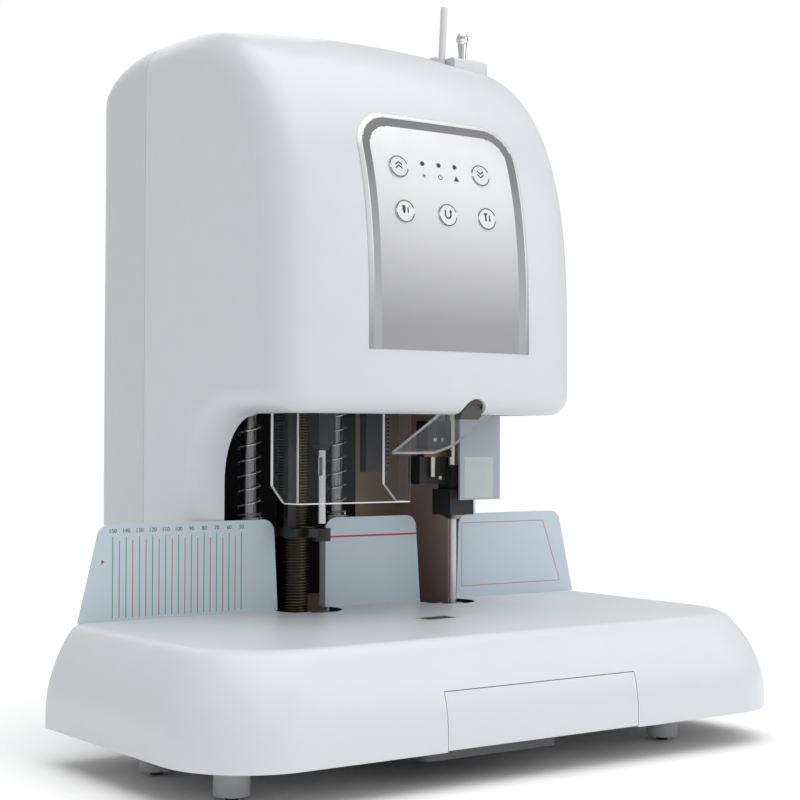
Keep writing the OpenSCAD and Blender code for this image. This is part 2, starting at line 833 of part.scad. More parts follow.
module ram_guide() {
    color("#3a3a3e") difference() {
        box([rivet_x - 20, tool_y - 14, housing_z], [frame_x, press_y + 12, housing_z + housing_t]);
        rod(rivet_x, tool_y, housing_z - 1, housing_z + housing_t + 1, ram_d / 2 + fit_gap);
        rod(rivet_x, press_y, housing_z + 5, housing_z + housing_t + 1, 4 + fit_gap);
    }
}

module press_ram() {
    color("lightgray") difference() {
        union() {
            rod(rivet_x, tool_y, ram_z, crosshead_z + crosshead_t, ram_d / 2);
            box([rivet_x - 14, tool_y - 9, crosshead_z], [rivet_x + 14, press_y + 12, crosshead_z + crosshead_t]);
        }
        rod(rivet_x, tool_y, ram_z - 1, crosshead_z + crosshead_t + 1, needle_d / 2 + free_gap);
        rod(rivet_x, press_y, crosshead_z - 1, crosshead_z + crosshead_t + 1, press_d / 2 + free_gap);
    }
}

module heater_block() {
    color("#232325") difference() {
        union() {
            box([rivet_x - heater_w / 2, tool_y - heater_w / 2, heater_z],
                [rivet_x + heater_w / 2, tool_y + heater_w / 2, heater_z + heater_h]);
            box([rivet_x - neck_w / 2, tool_y - neck_w / 2, heater_z + heater_h - 0.1],
                [rivet_x + neck_w / 2, tool_y + neck_w / 2, ram_z]);
            box([rivet_x - 32, tool_y - 1, ram_z - 14], [rivet_x - neck_w / 2 + 0.1, tool_y + 13, ram_z + 7]);
        }
        rod(rivet_x, tool_y, heater_z - 1, ram_z + 8, needle_d / 2 + free_gap);
        rod(rivet_x, tool_y, ram_z, ram_z + 8, ram_d / 2 + 0.05);
        rod(rivet_x - heater_w / 2 + 4, tool_y, heater_z + 4, heater_z + 10, 1.5);
    }
}

module nickel_cap() {
    color("silver") difference() {
        translate([rivet_x, tool_y, cap_z]) cylinder(h = cap_h, r1 = 4, r2 = 9.5);
        rod(rivet_x, tool_y, cap_z - 1, heater_z + 1, needle_d / 2 + free_gap);
    }
}

module brass_clamp() {
    color("goldenrod") difference() {
        union() {
            box([rivet_x - 30, tool_y - 4, ram_z + 7], [rivet_x - 2, tool_y + 5, ram_z + 12]);
            rod(rivet_x, tool_y, ram_z + 7, ram_z + 12, ram_d / 2 + 3);
            rod(rivet_x - 22, tool_y - 3.6, ram_z - 8, ram_z + 8, 2.2);
        }
        rod(rivet_x, tool_y, ram_z, ram_z + 20, ram_d / 2 + 0.02);
    }
}

module press_screw() {
    color("silver") {
        rod(rivet_x, press_y, housing_z + housing_t + 0.3, deck_z - 0.3, press_d / 2);
        rod(rivet_x, press_y, housing_z + 6, deck_z + deck_t + 10, 4);
    }
}

module guide_needle() {
    color("silver") rod(rivet_x, tool_y, table_z - 6, lifter_z + lifter_t, needle_d / 2);
}

module needle_rack() {
    color("#1d1d1f") difference() {
        union() {
            box([rack_x - rack_w / 2, 28, rack_z], [rack_x + rack_w / 2, 28 + rack_t, lifter_z + lifter_t]);
            translate([0, 0, lifter_z]) linear_extrude(lifter_t) hull() {
                translate([rivet_x, tool_y]) circle(7, $fn = 32);
                translate([rack_x, 28 + rack_t / 2]) circle(4, $fn = 32);
            }
        }
        rod(rivet_x, tool_y, lifter_z - 1, lifter_z + lifter_t + 1, needle_d / 2 + 0.02);
        for (z = [rack_z + 4 : rack_pitch : rack_z + 130])
            box([rack_x + rack_w / 2 - 2, 27, z], [rack_x + rack_w / 2 + 1, 29 + rack_t, z + rack_pitch / 2]);
    }
}

// ---------- table insert ----------

module anvil_bridge() {
    color("#2c2c30") {
        box([-drill_x - 30, tool_y - 26, table_z - 11], [rivet_x + 30, base_back - wall - 0.5, table_z - 8]);
        for (x = [-drill_x, rivet_x]) rod(x, tool_y, plate_top, table_z - 11, 12);
    }
}

module drill_pad() {
    color("darkslategray") rod(-drill_x, tool_y, table_z - 8, table_z - 0.5, drill_pad_r);
}

module lower_die() {
    color("silver") difference() {
        rod(rivet_x, tool_y, table_z - 8, table_z - 0.3, die_r);
        rod(rivet_x, tool_y, table_z - 7, table_z, needle_d / 2 + free_gap);
    }
}

// ---------- guards ----------

guard_z = table_z + guard_lift;
guard_top = housing_z + 3;
guard_x = [-drill_x - guard_w / 2 + 1.5, -drill_x + guard_w / 2 + 1.5];
guard_y = tool_y - 41;

module guard_wing(x) {
    prism_x(x, x + guard_t) polygon([
        [guard_y, guard_z], [guard_y + guard_d - 18, guard_z], [guard_y + guard_d, guard_z + 12],
        [guard_y + guard_d, guard_top], [guard_y, guard_top]
    ]);
}

module acrylic_guard() {
    color("lightcyan", 0.35) {
        box([guard_x[0], guard_y, guard_z], [guard_x[1], guard_y + guard_t, guard_top]);
        guard_wing(guard_x[0]);
        guard_wing(guard_x[1] - guard_t);
    }
}

flap_x = [guard_x[1] + 6.5, guard_x[1] + 6.5 + flap_w];
flap_axis_y = -head_front + 9;
flap_axis_z = under_z + 4.8;
shield_x = [flap_x[1] + 7, flap_x[1] + 7 + shield_w];
shield_y = tool_y - 17;
shield_top = housing_z - 0.4;
rail_y = -62;
rail_z = flap_axis_z + 13;

// The strips that hold the guards, the flap's ears with its pin, and the hot guard's bracket.
module guard_brackets() {
    color("gray") {
        box([-frame_x, guard_y + guard_t, housing_z], [guard_x[0] - 0.05, guard_y + guard_t + 5, guard_top]);
        box([guard_x[0] + guard_t + 0.05, guard_y + guard_t, housing_z],
            [guard_x[1] - guard_t - 0.05, guard_y + guard_t + 5, guard_top]);
        for (x = [flap_x[0] - 1.2, flap_x[1] + 0.2])
            box([x, flap_axis_y - 3, flap_axis_z - 2], [x + 1, flap_axis_y + 3, rail_z + 2]);
        box([flap_x[0] - 1.2, flap_axis_y - 3, rail_z], [flap_x[1] + 1.2, rail_y + 3, rail_z + 2]);
        box([-frame_x, rail_y, rail_z], [frame_x, rail_y + 3, rail_z + 6]);
        prism_x(flap_x[0] - 1.2, flap_x[1] + 1.2) translate([flap_axis_y, flap_axis_z]) circle(1.2);
        box([shield_x[0] + 1, shield_y + guard_t, shield_top - 8], [frame_x - 1, tool_y - 14, housing_z + 12]);
    }
}

module acrylic_flap() {
    color("lightcyan", 0.35) translate([0, flap_axis_y, flap_axis_z]) rotate([-flap_slope, 0, 0]) difference() {
        union() {
            box([flap_x[0] + 0.2, 0, -guard_t / 2], [flap_x[1] - 0.2, flap_len, guard_t / 2]);
            prism_x(flap_x[0] + 0.2, flap_x[1] - 0.2) circle(2.6);
        }
        prism_x(flap_x[0] - 1, flap_x[1] + 1) circle(1.2 + fit_gap);
    }
}

module flap_tab() {
    color("dimgray") intersection() {
        rod_y(tab_x, under_z - 1.3, flap_axis_y - tab_reach, flap_axis_y - 2.7, tab_r);
        box([tab_x - tab_r, flap_axis_y - tab_reach, tab_low], [tab_x + tab_r, flap_axis_y, under_z + tab_r]);
        prism_x(tab_x - tab_r - 1, tab_x + tab_r + 1) translate([flap_axis_y, flap_axis_z]) circle(tab_reach);
    }
}

module hot_shield() {
    color("aliceblue") box([shield_x[0], shield_y, guard_z - 0.6], [shield_x[1], shield_y + guard_t, shield_top]);
}

// ---------- feed ----------

// A block with round corners on the boss's outline.
module boss_block(gap, low, high) {
    box([boss_x[0] + boss_r, feed_y - boss_half - gap, low], [boss_x[1] - boss_r, feed_y + boss_half + gap, high]);
    box([boss_x[0] - gap, feed_y - boss_half + boss_r, low], [boss_x[1] + gap, feed_y + boss_half - boss_r, high]);
    for (x = [boss_x[0] + boss_r, boss_x[1] - boss_r], y = [feed_y - boss_half + boss_r, feed_y + boss_half - boss_r])
        rod(x, y, low, high, boss_r + gap);
}

module feed_boss() {
    color("white") difference() {
        boss_block(0, boss_floor, boss_top);
        box([boss_x[0] - 1, feed_y - 8, boss_top - 5], [boss_x[0] + 7, feed_y + 8, boss_top + 1]);
        feed_line(tube_d / 2 + free_gap, -40, 60);
        box([lever_x - 7, feed_y - slot_half, boss_floor - 1], [lever_x + 16, feed_y + slot_half, boss_top + 1]);
    }
}

// A round bar along the leaning line of the nylon tube.
module feed_line(r, low, high) {
    translate([feed_x, feed_y, boss_top - 8]) rotate([0, tube_lean, 0])
        translate([0, 0, low]) cylinder(h = high - low, r = r);
}

module nylon_tube() {
    high = (tube_top - boss_top + 8) / cos(tube_lean);
    color("white", 0.6) difference() {
        feed_line(tube_d / 2, high - tube_len, high);
        feed_line(tube_bore / 2, high - tube_len - 1, high + 1);
    }
}

module cutter_lever() {
    color("silver") translate([lever_x, feed_y, lever_pivot_z]) {
        rotate_extrude() polygon([
            [0, 4], [2.2, 4], [2.2, knob_low], [4, knob_low + 2], [3.6, knob_low + 5],
            [2.7, knob_low + 10], [2.7, knob_low + 14], [0, knob_low + 14]
        ]);
        translate([0, 0, knob_low + knob_rise]) sphere(knob_d / 2);
        difference() {
            rotate([90, 0, 0]) translate([0, 0, -4]) cylinder(h = 8, r = 5);
            rotate([90, 0, 0]) translate([0, 0, -5]) cylinder(h = 10, r = 1.5 + fit_gap);
        }
    }
}

module tube_cutter() {
    color("dimgray") {
        difference() {
            union() {
                box([feed_x - 14, feed_y - 9, cutter_z + 6], [lever_x + 8, feed_y + 12, cutter_z + 30]);
                box([lever_x - 8, feed_y + 5, cutter_z + 30], [lever_x + 8, feed_y + 12, lever_pivot_z + 5]);
                box([lever_x - 8, feed_y - 9, cutter_z + 30], [lever_x + 8, feed_y - 5, lever_pivot_z + 5]);
                box([feed_x - 14, feed_y + 11, deck_z - 10], [lever_x + 8, deck_front + 1, deck_z]);
                box([feed_x - 14, deck_front, deck_z - 10], [lever_x + 8, deck_front + 4, deck_z]);
            }
            feed_line(tube_d / 2 + free_gap, -90, 10);
            rod_y(lever_x, lever_pivot_z, feed_y - 10, feed_y + 13, 1.5);
        }
        rod_y(lever_x, lever_pivot_z, feed_y - 9, feed_y + 12, 1.5);
    }
}

// ---------- chip drawer ----------

module chip_drawer() {
    color("whitesmoke") {
        difference() {
            intersection() {
                base_form(0);
                box([drawer_left, -base_front - base_flare - 5, floor_z + 1],
                    [drawer_right, -base_front + 20, drawer_top]);
            }
            base_form(wall);
        }
        difference() {
            intersection() {
                base_form(wall - 0.5);
                box([drawer_left + 4, -base_front - base_flare, plate_top + 0.3],
                    [drawer_right - 4, -base_front - base_flare + tray_len, drawer_top - 3]);
            }
            box([drawer_left + 6, -base_front - 12, plate_top + 2.3],
                [drawer_right - 6, -base_front - base_flare - 2 + tray_len, drawer_top]);
        }
    }
}

// ---------- electrics ----------

module circuit_board() {
    color("darkgreen") {
        box([-80, frame_end + 9, 260], [40, frame_end + 10.6, 420]);
        for (x = [-74, 34], z = [266, 414]) rod_y(x, z, frame_end + 1.2, frame_end + 9, 2.5);
        for (i = [0:3]) box([-66 + 24 * i, frame_end + 10.6, 280 + 22 * i], [-50 + 24 * i, frame_end + 22, 296 + 22 * i]);
        for (i = [0:2]) rod_y(-60 + 18 * i, 380, frame_end + 10.6, frame_end + 30, 6);
    }
}

module transformer() {
    color("darkorange") {
        box([-40, frame_end + 10, plate_top], [40, frame_end + 44, plate_top + 12]);
        box([-34, frame_end + 14, plate_top + 12], [34, frame_end + 40, plate_top + 76]);
        box([-24, frame_end + 8, plate_top + 24], [24, frame_end + 46, plate_top + 64]);
    }
}

module power_inlet() {
    color("#1c1c1c") {
        difference() {
            union() {
                box([-84, body_back - 22, 62], [-56, body_back + 0.1, 82]);
                box([-86, body_back, 60], [-54, body_back + 1.8, 84]);
            }
            box([-81, body_back - 16, 65], [-59, body_back + 3, 79]);
        }
        for (x = [-76, -70, -64]) box([x - 0.6, body_back - 17, x == -70 ? 74 : 69], [x + 0.6, body_back - 3, x == -70 ? 78 : 73]);
    }
}

rocker_x = -38.5;
rocker_z = 72.5;

module switch_frame() {
    color("#1c1c1c") {
        difference() {
            union() {
                box([-46, body_back - 20, 62], [-31, body_back + 0.1, 83]);
                box([-48, body_back, 60], [-29, body_back + 1.6, 85]);
            }
            box([-44, body_back - 12, 64], [-33, body_back + 3, 81]);
        }
        prism_x(-44.5, -32.5) translate([body_back - 5, rocker_z]) circle(1);
    }
}

module power_rocker() {
    color("firebrick") difference() {
        prism_x(-43.6, -33.4) polygon([
            [body_back - 6, rocker_z - 7], [body_back + 0.6, rocker_z - 7.4], [body_back, rocker_z],
            [body_back + rocker_out, rocker_z + 7], [body_back - 6, rocker_z + 7]
        ]);
        prism_x(-45, -32) translate([body_back - 5, rocker_z]) circle(1 + fit_gap);
    }
}

fan_x = 58;
fan_z = 240;
fan_y = body_back - wall - 0.02;

module fan_housing() {
    color("#202020") {
        difference() {
            box([fan_x - 30, fan_y - 15, fan_z - 30], [fan_x + 30, fan_y, fan_z + 30]);
            rod_y(fan_x, fan_z, fan_y - 16, fan_y + 1, 27);
        }
        for (a = [0, 120, 240]) translate([fan_x, fan_y - 15, fan_z]) rotate([0, a, 0])
            box([-1.2, 0, 0], [1.2, 1.6, 28]);
        rod_y(fan_x, fan_z, fan_y - 15, fan_y - 12, 9);
        rod_y(fan_x, fan_z, fan_y - 15, fan_y - 3, 1.5);
    }
}

module fan_rotor() {
    color("#303030") difference() {
        union() {
            rod_y(fan_x, fan_z, fan_y - 11.5, fan_y - 2, 9);
            for (i = [0:6]) translate([fan_x, fan_y - 7, fan_z]) rotate([0, 360 * i / 7, 0]) rotate([0, 0, 28])
                box([-4, -0.6, 5], [4, 0.6, 26]);
        }
        rod_y(fan_x, fan_z, fan_y - 12, fan_y + 1, 1.5 + fit_gap);
    }
}

// Every piece is moved together, so that the middle of the whole machine's box stands on the origin.
translate([0, centre_y, 0]) {
    base_casing();
    base_plate();
    under_tray();
    feet();
    foot_pads();
    guide_plate_left();
    guide_plate_centre();
    guide_plate_right();
    front_shell();
    back_cover();
    control_panel();
    led_lenses();
    key_up();
    key_down();
    key_drill();
    key_reset();
    key_rivet();
    feed_boss();
    nylon_tube();
    cutter_lever();
    tube_cutter();
    frame_left();
    frame_right();
    frame_back();
    top_deck();
    guide_rods();
    drill_carriage();
    drill_motor();
    spindle();
    drill_bit();
    presser_foot();
    presser_springs();
    lift_screw();
    lift_motor();
    press_screw();
    press_motor();
    ram_guide();
    press_ram();
    heater_block();
    nickel_cap();
    brass_clamp();
    guide_needle();
    needle_rack();
    anvil_bridge();
    drill_pad();
    lower_die();
    acrylic_guard();
    guard_brackets();
    acrylic_flap();
    flap_tab();
    hot_shield();
    chip_drawer();
    circuit_board();
    transformer();
    power_inlet();
    switch_frame();
    power_rocker();
    fan_housing();
    fan_rotor();
    case_screws();
}
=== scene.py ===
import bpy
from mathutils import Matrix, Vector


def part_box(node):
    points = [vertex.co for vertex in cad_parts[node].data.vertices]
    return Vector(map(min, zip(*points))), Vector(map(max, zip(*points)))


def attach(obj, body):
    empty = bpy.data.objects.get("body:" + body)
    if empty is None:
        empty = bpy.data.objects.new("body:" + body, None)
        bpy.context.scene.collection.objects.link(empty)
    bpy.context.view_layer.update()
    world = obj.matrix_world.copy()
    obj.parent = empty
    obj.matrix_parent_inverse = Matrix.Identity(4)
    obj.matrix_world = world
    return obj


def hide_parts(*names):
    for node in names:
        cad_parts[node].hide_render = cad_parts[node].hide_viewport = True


bl_info = {
    "name": "Document Riveting Machine",
    "version": (1, 0, 0),
    "blender": (4, 5, 0),
    "location": "View3D > Sidebar > Riveter",
    "description": "Finishes and fine forms of a desk machine that drills and rivets stacks of paper",
    "category": "Object",
}

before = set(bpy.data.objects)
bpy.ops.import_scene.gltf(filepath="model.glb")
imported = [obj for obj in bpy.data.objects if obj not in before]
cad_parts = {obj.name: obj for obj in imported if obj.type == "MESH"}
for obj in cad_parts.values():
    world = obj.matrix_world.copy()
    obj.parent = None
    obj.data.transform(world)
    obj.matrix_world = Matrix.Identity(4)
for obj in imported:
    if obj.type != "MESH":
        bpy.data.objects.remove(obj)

import math
import bmesh
import bpy
from mathutils import Matrix, Vector

# A millimetre in metres. All lengths below are in millimetres unless said otherwise.
MM = 0.001
# The shapes are written with the tools' line near y = 0, and each piece is then moved by this onto the frame.
CENTRE = Vector((0, -7.6, 0))
# Points closer than this are one point, in metres.
WELD = 0.00001
# The least radius of a turned body's tip.
TIP_R = 0.001
FRONTWARD = Vector((0, -1, 0))


# ---------- small tools ----------

def mesh_piece(name, verts, faces, material, body="machine", slot=None, smooth=True, rides=True):
    """A new object whose points are given in millimetres."""
    mesh = bpy.data.meshes.new(name)
    mesh.from_pydata([Vector(v) * MM for v in verts], [], faces)
    mesh.validate()
    for polygon in mesh.polygons:
        polygon.use_smooth = smooth
    obj = bpy.data.objects.new(name.replace(" ", "_"), mesh)
    bpy.context.scene.collection.objects.link(obj)
    mesh.materials.append(material)
    if rides:
        settle(obj, body)
    return obj


def settle(obj, body):
    """Moves a finished piece onto the machine's middle and lets it ride on its body."""
    obj.data.transform(Matrix.Translation(CENTRE * MM))
    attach(obj, body)
    return obj


def apply_modifiers(obj):
    """Turns the evaluated object into a plain mesh."""
    graph = bpy.context.evaluated_depsgraph_get()
    mesh = bpy.data.meshes.new_from_object(obj.evaluated_get(graph))
    obj.modifiers.clear()
    obj.data = mesh
    return obj


def sharpen(obj, degrees=32):
    """Smooth shading that stays crisp at edges over the given angle."""
    mesh = obj.data
    for polygon in mesh.polygons:
        polygon.use_smooth = True
    bm = bmesh.new()
    bm.from_mesh(mesh)
    limit = math.radians(degrees)
    for edge in bm.edges:
        if len(edge.link_faces) == 2:
            edge.smooth = edge.calc_face_angle(0) < limit
    bm.to_mesh(mesh)
    bm.free()
    return obj


def box_mesh(low, high):
    """Points and faces of a box between two corners."""
    (x0, y0, z0), (x1, y1, z1) = low, high
    verts = [(x0, y0, z0), (x1, y0, z0), (x1, y1, z0), (x0, y1, z0),
             (x0, y0, z1), (x1, y0, z1), (x1, y1, z1), (x0, y1, z1)]
    faces = [(0, 3, 2, 1), (4, 5, 6, 7), (0, 1, 5, 4), (1, 2, 6, 5), (2, 3, 7, 6), (3, 0, 4, 7)]
    return verts, faces


def circle(r, steps):
    """Points of a circle round the origin, in turn."""
    angles = [2 * math.pi * k / steps for k in range(steps)]
    return [(r * math.cos(a), r * math.sin(a)) for a in angles]


def arc(cx, cy, r, start, end, steps):
    """Points along an arc round a centre, both ends included, with angles in degrees."""
    angles = [math.radians(start + (end - start) * i / steps) for i in range(steps + 1)]
    return [(cx + r * math.cos(a), cy + r * math.sin(a)) for a in angles]


def ring_mesh(rings):
    """Joins closed rings of equally many points into a closed surface."""
    m = len(rings[0])
    verts = [p for ring in rings for p in ring]
    faces = []
    for i in range(len(rings) - 1):
        for k in range(m):
            n = (k + 1) % m
            faces.append((i * m + k, i * m + n, (i + 1) * m + n, (i + 1) * m + k))
    faces.append(tuple(range(m - 1, -1, -1)))
    faces.append(tuple(range((len(rings) - 1) * m, len(rings) * m)))
    return verts, faces


def turned(profile, centre, steps=48):
    """A body turned round the vertical line through centre, from (radius, height) pairs."""
    return ring_mesh([[(centre[0] + x, centre[1] + y, z) for x, y in circle(max(r, TIP_R), steps)]
                      for r, z in profile])


def joined(parts):
    """One list of points and faces from several."""
    verts, faces = [], []
    for v, f in parts:
        base = len(verts)
        verts += list(v)
        faces += [tuple(i + base for i in face) for face in f]
    return verts, faces


def cut_away(obj, parts):
    """Takes solids away from a closed mesh."""
    verts, faces = joined(parts)
    cutter = mesh_piece("cutter", verts, faces, obj.data.materials[0], rides=False, smooth=False)
    bm = bmesh.new()
    bm.from_mesh(cutter.data)
    bmesh.ops.recalc_face_normals(bm, faces=bm.faces)
    bm.to_mesh(cutter.data)
    bm.free()
    modifier = obj.modifiers.new("opening", "BOOLEAN")
    modifier.operation = "DIFFERENCE"
    modifier.solver = "EXACT"
    modifier.use_self = True
    modifier.object = cutter
    apply_modifiers(obj)
    bpy.data.objects.remove(cutter)
    return obj


def thicken(obj, thickness, even=True):
    """Gives a skin its wall, inwards from the side its normals point to."""
    modifier = obj.modifiers.new("wall", "SOLIDIFY")
    modifier.thickness = thickness * MM
    modifier.offset = -1
    modifier.use_even_offset = even
    modifier.use_quality_normals = True
    return apply_modifiers(obj)


def face_outwards(obj, centre):
    """Turns a skin's normals away from a point inside it."""
    mesh = obj.data
    bm = bmesh.new()
    bm.from_mesh(mesh)
    bmesh.ops.remove_doubles(bm, verts=bm.verts, dist=WELD)
    bmesh.ops.recalc_face_normals(bm, faces=bm.faces)
    middle = Vector(centre) * MM
    score = sum(f.normal.dot(f.calc_center_median() - middle) * f.calc_area() for f in bm.faces)
    if score < 0:
        bmesh.ops.reverse_faces(bm, faces=bm.faces)
    bm.to_mesh(mesh)
    bm.free()
    return obj


# ---------- materials ----------

def finish(name, colour, rough, metal=0.0, coat=0.0, grain=0.04, grain_size=60.0, bump=0.0,
           bump_size=900.0, stretch=(1, 1, 1), alpha=1.0, wear=0.03):
    """A shader whose colour, gloss and relief vary a little over the surface."""
    material = bpy.data.materials.new(name)
    material.use_nodes = True
    tree = material.node_tree
    nodes, links = tree.nodes, tree.links
    shader = nodes["Principled BSDF"]
    shader.inputs["Metallic"].default_value = metal
    shader.inputs["Coat Weight"].default_value = coat
    shader.inputs["Coat Roughness"].default_value = 0.08
    shader.inputs["Alpha"].default_value = alpha
    place = nodes.new("ShaderNodeTexCoord")
    mapping = nodes.new("ShaderNodeMapping")
    mapping.inputs["Scale"].default_value = stretch
    links.new(place.outputs["Object"], mapping.inputs["Vector"])
    cloud = nodes.new("ShaderNodeTexNoise")
    cloud.inputs["Scale"].default_value = grain_size
    cloud.inputs["Detail"].default_value = 5.0
    links.new(mapping.outputs["Vector"], cloud.inputs["Vector"])
    ramp = nodes.new("ShaderNodeValToRGB")
    low = [max(0.0, c * (1 - wear)) for c in colour]
    high = [min(1.0, c * (1 + wear)) for c in colour]
    ramp.color_ramp.elements[0].position = 0.3
    ramp.color_ramp.elements[0].color = (*low, 1)
    ramp.color_ramp.elements[1].position = 0.7
    ramp.color_ramp.elements[1].color = (*high, 1)
    links.new(cloud.outputs["Fac"], ramp.inputs["Fac"])
    links.new(ramp.outputs["Color"], shader.inputs["Base Color"])
    spread = nodes.new("ShaderNodeMapRange")
    spread.inputs["To Min"].default_value = max(0.02, rough - grain)
    spread.inputs["To Max"].default_value = min(1.0, rough + grain)
    links.new(cloud.outputs["Fac"], spread.inputs["Value"])
    links.new(spread.outputs["Result"], shader.inputs["Roughness"])
    if bump:
        fine = nodes.new("ShaderNodeTexNoise")
        fine.inputs["Scale"].default_value = bump_size
        fine.inputs["Detail"].default_value = 3.0
        links.new(mapping.outputs["Vector"], fine.inputs["Vector"])
        relief = nodes.new("ShaderNodeBump")
        relief.inputs["Strength"].default_value = bump
        relief.inputs["Distance"].default_value = 0.0002
        links.new(fine.outputs["Fac"], relief.inputs["Height"])
        links.new(relief.outputs["Normal"], shader.inputs["Normal"])
    return material


FINISH = {}


def fade_up(material, low, high, lower):
    """Fades a finish to another colour below a height, between two heights in millimetres; it paints light
    and shade that change with height.
    """
    nodes, links = material.node_tree.nodes, material.node_tree.links
    place = next(n for n in nodes if n.type == "TEX_COORD")
    ramp = next(n for n in nodes if n.type == "VALTORGB")
    split = nodes.new("ShaderNodeSeparateXYZ")
    links.new(place.outputs["Object"], split.inputs["Vector"])
    reach = nodes.new("ShaderNodeMapRange")
    reach.inputs["From Min"].default_value = low * MM
    reach.inputs["From Max"].default_value = high * MM
    links.new(split.outputs["Z"], reach.inputs["Value"])
    blend = nodes.new("ShaderNodeMix")
    blend.data_type = "RGBA"
    blend.inputs["A"].default_value = (*lower, 1)
    links.new(reach.outputs["Result"], blend.inputs["Factor"])
    links.new(ramp.outputs["Color"], blend.inputs["B"])
    links.new(blend.outputs["Result"], nodes["Principled BSDF"].inputs["Base Color"])


